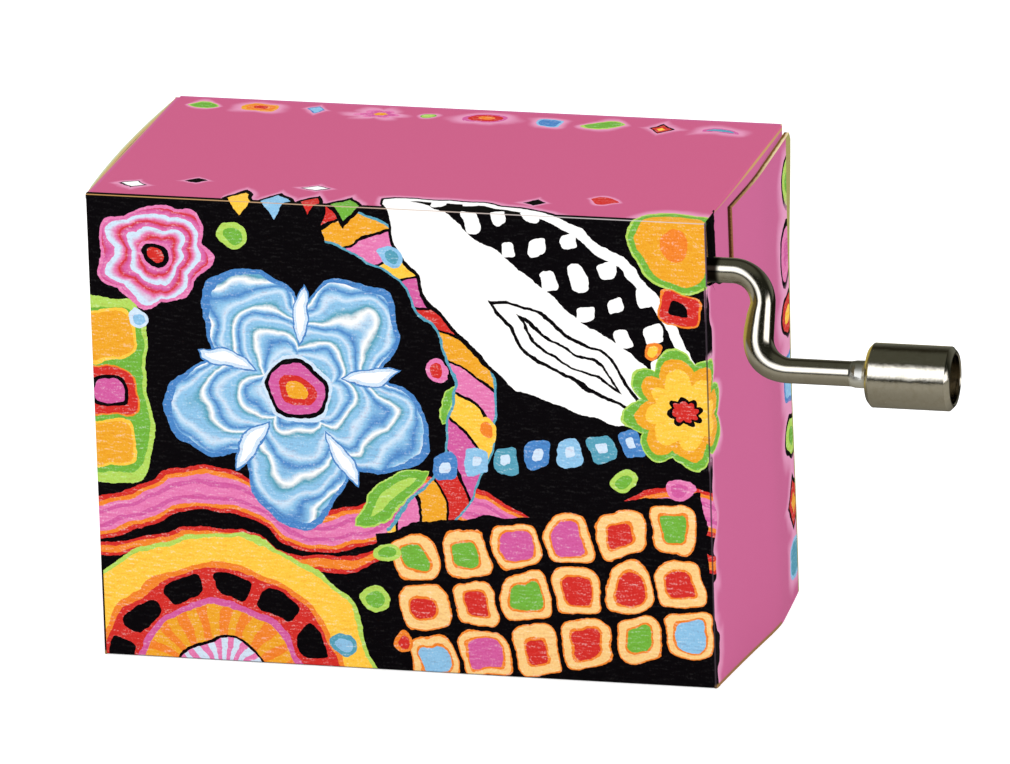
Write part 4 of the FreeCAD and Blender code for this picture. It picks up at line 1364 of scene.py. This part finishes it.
class BuildDustFlaps(bpy.types.Operator):
    """Dust flaps folded in from the top and the bottom at both ends"""

    bl_idname = "music_box.dust_flaps"
    bl_label = "Dust flaps"

    def execute(self, context):
        self.flap("right_upper_dust_flap", 1, True, "right_top_dust_flap")
        self.flap("right_lower_dust_flap", 1, False, "right_bottom_dust_flap")
        self.flap("left_upper_dust_flap", -1, True, "left_top_dust_flap")
        self.flap("left_lower_dust_flap", -1, False, "left_bottom_dust_flap")
        return DONE

    def flap(self, name, side, above, node):
        """One dust flap, modelled at its own corner of the carton."""
        box = carton()
        half = box.back - box.fold_return - HAIR
        crease = box.right - 0.05 * MM if side > 0 else box.left - 0.1 * MM
        edge = box.height if above else 0
        inward = -1 if above else 1
        end = edge + inward * box.dust_depth
        low, high = sorted((edge, end))
        piece = sheet(name, (crease, -half, low), (crease, half, high), "+X" if side > 0 else "-X", (31, 15))
        if above:
            self.spring_out(piece, side)
        else:
            self.lean_in(piece, side, edge)
        taper = box.dust_taper
        back = end - inward * 2 * taper
        for way in (-1, 1):
            outer = way * (half + MM)
            slant = [(way * half, back), (way * (half - taper), end)]
            punch_end(piece, crease, slant + [(outer, end + inward * 2 * MM), (outer, back)])
        if side > 0 and above:
            self.make_way(piece, crease, low)
        edit(piece)
        extend(piece, on(z=edge), x=side * (box.right - box.crease_inset) - crease)
        leave_edit()

        def raw(co):
            return abs(co.z - edge) > 0.6 * MM or abs(co.y) > half - HAIR

        material = printed_dust(name, side, above)
        make_board(piece, [on(x=crease, z=edge)], raw, node, on_dust(side, above), material)

    def spring_out(self, piece, side):
        """Lets the flap spring out against the bulging end flap."""
        box = carton()

        def spring(y):
            gap = box.bulge_top * tent(y) + standoff(y) if side > 0 else left_gap(y) - 0.1 * MM
            return gap - box.board

        bow(piece, side, spring, lambda co: co.z < box.height - 0.5 * MM)

    def lean_in(self, piece, side, edge):
        """Pushes a flap in behind the end flap, right beyond its crease."""
        edit(piece)
        score(piece, 2, edge + 0.4 * MM, lambda co: near(co.z, edge, MM))
        choose_points(piece, lambda co: not near(co.z, edge, 0.3 * MM))
        push(-side * 0.5 * MM)
        leave_edit()

    def make_way(self, piece, x, low):
        """Cuts the flap back in front and slots it round the rod."""
        box = carton()
        ahead = -box.back - MM
        above = box.height + MM
        below = low - MM
        level = crank().axle_z
        front = dust_front(level)
        slot = crank().axle_y + box.rod_slot
        for outline in (
            [(ahead, above), (dust_front(above), above), (front, level), (front, below), (ahead, below)],
            [(front - 0.1 * MM, level), (slot, level), (slot, below), (front - 0.1 * MM, below)],
            circle(crank().axle_y, level, box.rod_slot),
        ):
            punch_end(piece, x, outline)


# Crank
def axle(x=0.0):
    """A point of the axis about which the crank turns."""
    return Vector((x, crank().axle_y, crank().axle_z))


def arm_way():
    """The way in which the arm runs, away from the turning axis."""
    return Vector((0, -math.sin(crank().lean), -math.cos(crank().lean)))


def ring(name, centre, radius, sides):
    """An open ring of points that faces along X, opened in edit mode with all of it selected."""
    bpy.ops.object.select_all(action="DESELECT")
    bpy.ops.mesh.primitive_circle_add(
        vertices=sides, radius=radius, location=centre, rotation=(0, math.pi / 2, 0)
    )
    piece = named(name)
    edit(piece)
    bpy.ops.mesh.select_all(action="SELECT")
    return piece


def draw_along(centre, radius, profile):
    """Draws a ring on along X, from place to place of a profile of (x, radius)."""
    for x, next_radius in profile:
        extrude(x=x - centre.x)
        centre.x = x
        factor = next_radius / radius
        bpy.ops.transform.resize(value=(1, factor, factor), center_override=centre)
        radius = next_radius


def finish_plated(piece, body, node, grooves, depth, drawn=False):
    """Closes a plated piece, turns its faces outwards, and finishes it."""
    bpy.ops.mesh.select_all(action="SELECT")
    bpy.ops.mesh.remove_doubles(threshold=1e-6)
    bpy.ops.mesh.select_all(action="SELECT")
    bpy.ops.mesh.normals_make_consistent(inside=False)
    leave_edit()
    smooth(piece, 28)
    name = "Nickel plate, drawn rod" if drawn else "Nickel plate, turned knob"
    dress(piece, nickel_plate(name, grooves, depth, drawn))
    # The soft white room leaves no shadow of a piece that stands off the carton
    piece.visible_shadow = False
    piece.visible_diffuse = False
    finish(piece, body, node)


class BuildCrankRod(bpy.types.Operator):
    """Bent rod with its journal, its pinched ears and its riveted end"""

    bl_idname = "music_box.crank_rod"
    bl_label = "Crank rod"

    def execute(self, context):
        part = crank()
        low, high = ROD_BOX
        radius = part.rod_radius
        journal = part.journal_radius
        down = arm_way()
        turning = ALONG.cross(down)
        chamfer = 0.15 * MM
        middle = axle(low.x)
        piece = ring("bent_rod", middle, journal - chamfer, 48)
        bpy.ops.mesh.edge_face_add()
        draw_along(middle, journal - chamfer, (
            (low.x + chamfer, journal),
            (part.journal_end, journal),
            (part.journal_end + 0.2 * MM, radius),
            (part.arm - part.bend_radius, radius),
        ))
        self.spin(middle + down * part.bend_radius, turning, math.pi / 2, 20)
        self.arm(down, turning)
        self.lower_bend(down, turning)
        middle = axle(part.arm + part.bend_radius) + down * part.throw
        draw_along(middle, radius, [(KNOB_START - 1.9 * MM, radius)])
        self.pinch(middle, radius)
        head = high.x - 0.7 * MM
        wide = part.head_radius
        draw_along(middle, radius, (
            (head, radius),
            (head, wide),
            (head + 0.32 * MM, wide),
            (head + 0.5 * MM, wide - 0.1 * MM),
            (head + 0.62 * MM, wide - 0.35 * MM),
            (head + 0.7 * MM, wide - 0.8 * MM),
        ))
        bpy.ops.mesh.edge_face_add()
        finish_plated(piece, "crank", "crank_rod", (2.5, 2.5, 2.5), 2e-6, drawn=True)
        return DONE

    def spin(self, centre, axis, angle, steps):
        bpy.ops.mesh.spin(steps=steps, angle=-angle, center=centre, axis=axis)

    def swell(self, edge, outwards, turning, factor):
        """Widens the ring out of the bend, with its inner edge held in place."""
        bpy.ops.transform.resize(
            value=(factor, 1, 1),
            orient_type="GLOBAL",
            orient_matrix=(outwards, turning.cross(outwards), turning),
            orient_matrix_type="GLOBAL",
            constraint_axis=(True, False, False),
            center_override=edge,
        )

    def arm(self, down, turning):
        """Draws the arm in three shares, each pressed wider than the last."""
        part = crank()
        along = down * (part.throw - 2 * part.bend_radius)
        edge = axle(part.arm + part.rod_radius)
        width = 2 * part.rod_radius
        for share, more in ((0.3, 0.5), (0.45, 0.42), (0.25, 0.08)):
            extrude(*(along * share))
            more *= part.pressed
            self.swell(edge, -ALONG, turning, (width + more) / width)
            width += more

    def lower_bend(self, down, turning):
        """Bends the arm into the knob's run, pressed wide on the bend's outer side."""
        part = crank()
        inner = part.bend_radius - part.rod_radius
        centre = axle(part.arm + part.bend_radius) + down * (part.throw - part.bend_radius)
        steps = 20
        width = 2 * part.rod_radius + self.pressed(0)
        for step in range(1, steps + 1):
            self.spin(centre, -turning, math.pi / 2 / steps, 1)
            angle = math.pi / 2 * step / steps
            outwards = down * math.sin(angle) - ALONG * math.cos(angle)
            wider = 2 * part.rod_radius + self.pressed(step / steps)
            self.swell(centre + outwards * inner, outwards, turning, wider / width)
            width = wider

    def pressed(self, part_way):
        """How much wider than the rod the bend is at a part of its way."""
        left = min(1, (1 - part_way) / 0.7)
        return crank().pressed * left * left * (3 - 2 * left)

    def pinch(self, middle, radius):
        """Squeezes the rod flat beside the knob, so that two ears stand out."""
        tilt = math.radians(55)
        was_wide = was_thin = 1.0
        for before, wide, thin in (
            (1.75, 1.0, 1.0),
            (1.5, 1.05, 0.9),
            (1.3, 1.1, 0.76),
            (0.6, 1.12, 0.72),
            (0.4, 1.07, 0.84),
            (0.2, 1.0, 1.0),
        ):
            draw_along(middle, radius, [(KNOB_START - before * MM, radius)])
            bpy.ops.transform.rotate(value=tilt, orient_axis="X", center_override=middle)
            bpy.ops.transform.resize(
                value=(1, wide / was_wide, thin / was_thin), center_override=middle
            )
            bpy.ops.transform.rotate(value=-tilt, orient_axis="X", center_override=middle)
            was_wide, was_thin = wide, thin


class BuildCrankKnob(bpy.types.Operator):
    """Turned tube knob with a recess at its outer end"""

    bl_idname = "music_box.crank_knob"
    bl_label = "Crank knob"

    def execute(self, context):
        part = crank()
        outer = part.knob_radius
        recess = part.recess_radius
        floor = KNOB_END - part.recess_depth
        bore = part.rod_radius + 0.04 * MM
        middle = axle(KNOB_START) + arm_way() * part.throw
        piece = ring("turned_knob", middle, bore, 96)
        draw_along(middle, bore, (
            (KNOB_START, outer - 0.5 * MM),
            (KNOB_START + 0.05 * MM, outer - 0.41 * MM),
            (KNOB_START + 0.38 * MM, outer - 0.04 * MM),
            (KNOB_START + 0.45 * MM, outer),
            (KNOB_START + 0.56 * MM, outer),
            (KNOB_END - 0.56 * MM, outer),
            (KNOB_END - 0.45 * MM, outer),
            (KNOB_END - 0.38 * MM, outer - 0.04 * MM),
            (KNOB_END - 0.06 * MM, outer - 0.37 * MM),
            (KNOB_END, outer - 0.46 * MM),
            (KNOB_END, recess + 0.08 * MM),
            (KNOB_END - 0.08 * MM, recess),
            (floor + 0.15 * MM, recess),
            (floor, recess - 0.15 * MM),
            (floor, bore),
            (KNOB_START, bore),
        ))
        finish_plated(piece, "knob", "crank_knob", (5, 1.6, 1.6), 1.1e-5)
        return DONE


# Finishes of metal, wood and plastic
def nickel_plate(name, grooves, depth, drawn):
    """Bright nickel over steel, with the fine marks that shaping left in it."""
    part = crank()
    net = Network(name)
    place = net.place()
    marks = net.noise(net.stretched(place, grooves), 1, 3, 0.6)
    dents = net.noise(place, 0.7, 2, 0.5)
    cloud = net.noise(place, 1.6, 3, 0.6)
    colour = net.mix(net.fade(cloud, 0.4, 0.75, 0, 0.35), tuple(part.nickel), (0.5, 0.43, 0.32))
    if drawn:
        # Painted shade: brown in the wrinkles inside the upper bend, near black in the notch; rough, with a
        # painted highlight, where pinched
        bend = axle(part.arm - part.bend_radius) / MM + arm_way() * (part.bend_radius / MM - 0.4)
        creased = net.fade(net.vector("DISTANCE", place, bend), 2.6, 1.5, 0, 1)
        wrinkles = net.noise(net.stretched(place, (1.2, 1.2, 5.5)), 1, 3, 0.7)
        # Painted shade: the wrinkles inside the upper bend are darkened to brown
        marked = net.both(creased, net.fade(wrinkles, 0.45, 0.62, 0, 0.8))
        colour = net.mix(marked, colour, (0.16, 0.09, 0.03))
        marks = net.line(net.both(creased, wrinkles), 5, marks)
        # Painted shade: the rod is near black where it runs inside the carton, behind the notch
        along = net.split(place)[0]
        clear = net.fade(along, 29.85, 30.5)
        colour = net.mix(net.both(clear, clear), (0.012, 0.008, 0.006), colour)
    rough = net.line(marks, 0.1, 0.09)
    if drawn:
        ears = KNOB_START / MM
        pinched = net.band(along, ears - 1.85, ears - 1.6, ears - 0.3, ears + 0.1)
        rough = net.line(pinched, 0.24, rough)
        # Painted highlight: the pinched flats are lighter in colour, for the light that they catch
        colour = net.mix(pinched, colour, (0.95, 0.92, 0.86))
    relief = net.bump(net.line(dents, 3.5, marks), 1, depth)
    return net.shader(base_color=colour, metallic=1.0, roughness=rough, normal=relief)


def worked(name, light, dark, stretch, depth, roughness, metallic=1.0):
    """A worked surface: fine lines along one way, over a slow cloud of darker places."""
    net = Network(name)
    place = net.place()
    lines = net.noise(net.stretched(place, stretch), 1, 4, 0.62)
    shade = net.line(lines, 0.6, net.both(net.noise(place, 0.4, 3, 0.6), 0.4))
    colour = net.mix(net.fade(shade, 0.34, 0.64), linear(dark), linear(light))
    rough = net.line(lines, 0.22, roughness - 0.11)
    normal = net.bump(lines, 1, depth)
    return net.shader(base_color=colour, metallic=metallic, roughness=rough, normal=normal)


# For each slot: light and dark colour, how its lines are stretched, their depth, its roughness
FINISHES = {
    "plain_board": ((196, 180, 150), (160, 140, 108), (1.5, 5, 5), 6e-6, 0.85, 0.0),
    "sounding_wood": ((214, 172, 118), (168, 120, 72), (0.12, 5, 3.4), 1.2e-5, 0.62, 0.0),
    "die_cast_zinc": ((178, 178, 174), (118, 118, 116), (2.2, 2.2, 2.2), 1.6e-5, 0.42),
    "bracket_steel": ((196, 196, 190), (140, 140, 134), (0.5, 9, 9), 3e-6, 0.3),
    "bush_brass": ((226, 190, 104), (170, 128, 56), (9, 3, 9), 3e-6, 0.28),
    "comb_steel": ((206, 206, 204), (150, 152, 156), (0.8, 8, 12), 2e-6, 0.22),
    "lead": ((122, 122, 126), (78, 78, 84), (3, 3, 3), 1.2e-5, 0.62),
    "damper_plastic": ((226, 216, 186), (190, 176, 140), (1, 6, 6), 3e-6, 0.5, 0.0),
    "screw_steel": ((188, 186, 180), (132, 130, 124), (7, 7, 7), 3e-6, 0.3),
    "nickel_plate": ((206, 198, 184), (160, 150, 132), (6, 6, 6), 2e-6, 0.2),
    "worm_brass": ((230, 196, 112), (176, 136, 62), (12, 2, 12), 3e-6, 0.25),
    "wheel_plastic": ((228, 224, 210), (204, 198, 180), (3, 3, 3), 5e-6, 0.42, 0.0),
}


class FinishMovement(bpy.types.Operator):
    """Finishes of the movement, its screws and the board that it is mounted on"""

    bl_idname = "music_box.movement_finishes"
    bl_label = "Movement finishes"

    def execute(self, context):
        made = {}
        for slot, values in FINISHES.items():
            made[slot] = worked(slot.replace("_", " ").capitalize(), *values)
        for part in frame["record"]["subparts"]:
            for place in frame["nodes"][part["node"]].material_slots:
                place.material = made.get(part["material_slot"], place.material)
        return DONE


class BuildStage(bpy.types.Operator):
    """Camera, floor and soft light"""

    bl_idname = "music_box.stage"
    bl_label = "Stage"

    def execute(self, context):
        self.camera(context.scene)
        self.floor()
        self.room(context.scene)
        self.lamp("key_light", (-0.35, -0.6, 0.6), 0.7, studio().key)
        self.lamp("side_light", (0.75, -0.3, 0.35), 0.6, studio().fill)
        context.scene.view_settings.view_transform = "Standard"
        # Only the crank and the floor are seen in what shines
        for piece in context.scene.objects:
            if piece.type == "MESH" and piece.name not in ("bent_rod", "turned_knob", "floor"):
                piece.visible_glossy = False
        return DONE

    def camera(self, scene):
        """A long lens at the photograph's angle."""
        settings = studio()
        into_view = (
            Matrix.Rotation(settings.roll, 3, "Z")
            @ Matrix.Rotation(settings.pitch, 3, "X")
            @ Matrix(((1, 0, 0), (0, 0, -1), (0, 1, 0)))
            @ Matrix.Rotation(settings.yaw, 3, "Z")
        )
        turned = into_view.transposed() @ Matrix(((1, 0, 0), (0, -1, 0), (0, 0, -1)))
        middle = Vector((0, 0, carton().height / 2))
        offset = Vector((settings.aside, settings.off, settings.distance))
        place = middle - into_view.transposed() @ offset
        bpy.ops.object.camera_add(location=place)
        camera = bpy.context.object
        camera.name = "camera"
        camera.matrix_world = Matrix.Translation(place) @ turned.to_4x4()
        camera.data.lens = settings.lens
        camera.data.sensor_width = 36
        camera.data.clip_start = 0.05
        camera.data.clip_end = 20
        scene.camera = camera

    def floor(self):
        """A pale floor: white to the eye, and a grey table in what shines."""
        bpy.ops.object.select_all(action="DESELECT")
        bpy.ops.mesh.primitive_grid_add(
            x_subdivisions=8, y_subdivisions=8, size=3, location=(0, 0, -0.05 * MM)
        )
        floor = named("floor")
        net = Network("Pale floor")
        paths = net.node("LightPath").outputs
        place = net.node("TexCoord").outputs["Object"]
        away = net.vector("LENGTH", place)
        right, back, _ = net.split(place)
        table = net.mix(net.fade(away, 0.0, 0.11), (0.2, 0.19, 0.15), (0.42, 0.415, 0.36))
        table = net.mix(net.fade(away, 0.15, 0.8), table, (0.1, 0.1, 0.085))
        rear = net.mix(net.fade(right, 0.0, -0.04), (0.1, 0.1, 0.08), (0.62, 0.5, 0.12))
        rear = net.mix(net.fade(right, 0.055, 0.09), rear, (0.012, 0.01, 0.006))
        table = net.mix(net.fade(back, 0.05, -0.02), rear, table)
        shine = net.node("Emission", table, 1.0).outputs[0]
        seen = net.math("MAXIMUM", paths["Is Camera Ray"], paths["Is Transmission Ray"])
        matte = net.node("BsdfDiffuse", (0.8, 0.8, 0.8)).outputs[0]
        glow = net.node("Emission", (1, 1, 1), net.both(seen, 0.5)).outputs[0]
        plain = net.node("AddShader", matte, glow).outputs[0]
        net.node("OutputMaterial", net.node("MixShader", paths["Is Glossy Ray"], plain, shine).outputs[0])
        dress(floor, net.owner)

    def room(self, scene):
        """A soft white room, in which shiny metal sees two windows and dark walls."""
        scene.world = bpy.data.worlds.new("Soft white room")
        net = Network("Soft white room", scene.world)
        scene.world.cycles.sampling_method = "NONE"
        right, back, up = net.split(net.node("TexCoord").outputs["Generated"])
        degrees = 180 / math.pi
        about = net.both(net.math("ARCTAN2", right, net.both(back, -1)), degrees)
        up = net.both(net.math("ARCSINE", up), degrees)
        behind = net.mix(net.fade(up, 52, 5), (0.02, 0.018, 0.01), (0.17, 0.18, 0.15))
        walls = net.mix(net.fade(about, -44, -58), (0.02, 0.022, 0.016), (0.17, 0.13, 0.045))
        walls = net.mix(net.fade(net.size(about), 100, 125), walls, behind)
        far_left = net.both(net.band(about, -162, -148, -100, -78), net.fade(up, 30, 8))
        walls = net.mix(far_left, walls, (0.62, 0.5, 0.12))
        walls = net.mix(net.fade(up, 46, 68), walls, (0.093, 0.098, 0.075))
        left_window = net.both(net.band(about, -40, -28, -14, 4), net.band(up, 1, 22, 38, 60))
        right_window = net.both(net.band(about, 35, 47, 77, 89), net.band(up, -12, 0, 14, 26))
        shine = net.mix(left_window, walls, (2.5, 2.62, 2.75))
        shine = net.mix(right_window, shine, (2.3, 2.35, 2.4))
        paths = net.node("LightPath").outputs
        level = net.mix(paths["Is Diffuse Ray"], (1, 1, 1), (studio().room,) * 3)
        level = net.mix(paths["Is Glossy Ray"], level, shine)
        net.node("OutputWorld", net.node("Background", level, 1.0).outputs[0])

    def lamp(self, name, place, size, power):
        """A square soft lamp that looks at the object."""
        aim = (Vector((0, 0, 0.02)) - Vector(place)).to_track_quat("-Z", "Y").to_euler()
        bpy.ops.object.light_add(type="AREA", location=place, rotation=aim)
        lamp = bpy.context.object
        lamp.name = name
        lamp.data.size = size
        lamp.data.energy = power
        lamp.visible_glossy = False


STEPS = (
    BuildFrontWall,
    BuildTopWall,
    BuildBackWall,
    BuildBottomWall,
    BuildRightEndFlap,
    BuildLeftEndFlap,
    BuildDustFlaps,
    BuildCrankRod,
    BuildCrankKnob,
    FinishMovement,
    BuildStage,
)


class MusicBoxPanel(bpy.types.Panel):
    """Lists the steps and the values that a user may change"""

    bl_idname = "VIEW3D_PT_music_box"
    bl_label = "Music Box"
    bl_space_type = "VIEW_3D"
    bl_region_type = "UI"
    bl_category = "Music Box"

    def draw(self, context):
        for step in STEPS:
            self.layout.operator(step.bl_idname)
        for key in SETTINGS:
            values = getattr(context.scene, key)
            self.layout.label(text=key.rpartition("_")[2].capitalize())
            for name in values.bl_rna.properties.keys():
                if name not in ("rna_type", "name"):
                    self.layout.prop(values, name)


def register():
    for item in (*SETTINGS.values(), *STEPS, MusicBoxPanel):
        bpy.utils.register_class(item)
    for name, values in SETTINGS.items():
        setattr(bpy.types.Scene, name, PointerProperty(type=values))


def unregister():
    for name in SETTINGS:
        delattr(bpy.types.Scene, name)
    for item in (MusicBoxPanel, *reversed(STEPS), *SETTINGS.values()):
        bpy.utils.unregister_class(item)


def main():
    register()
    for step in STEPS:
        getattr(bpy.ops.music_box, step.bl_idname.partition(".")[2])()


if __name__ == "__main__":
    main()
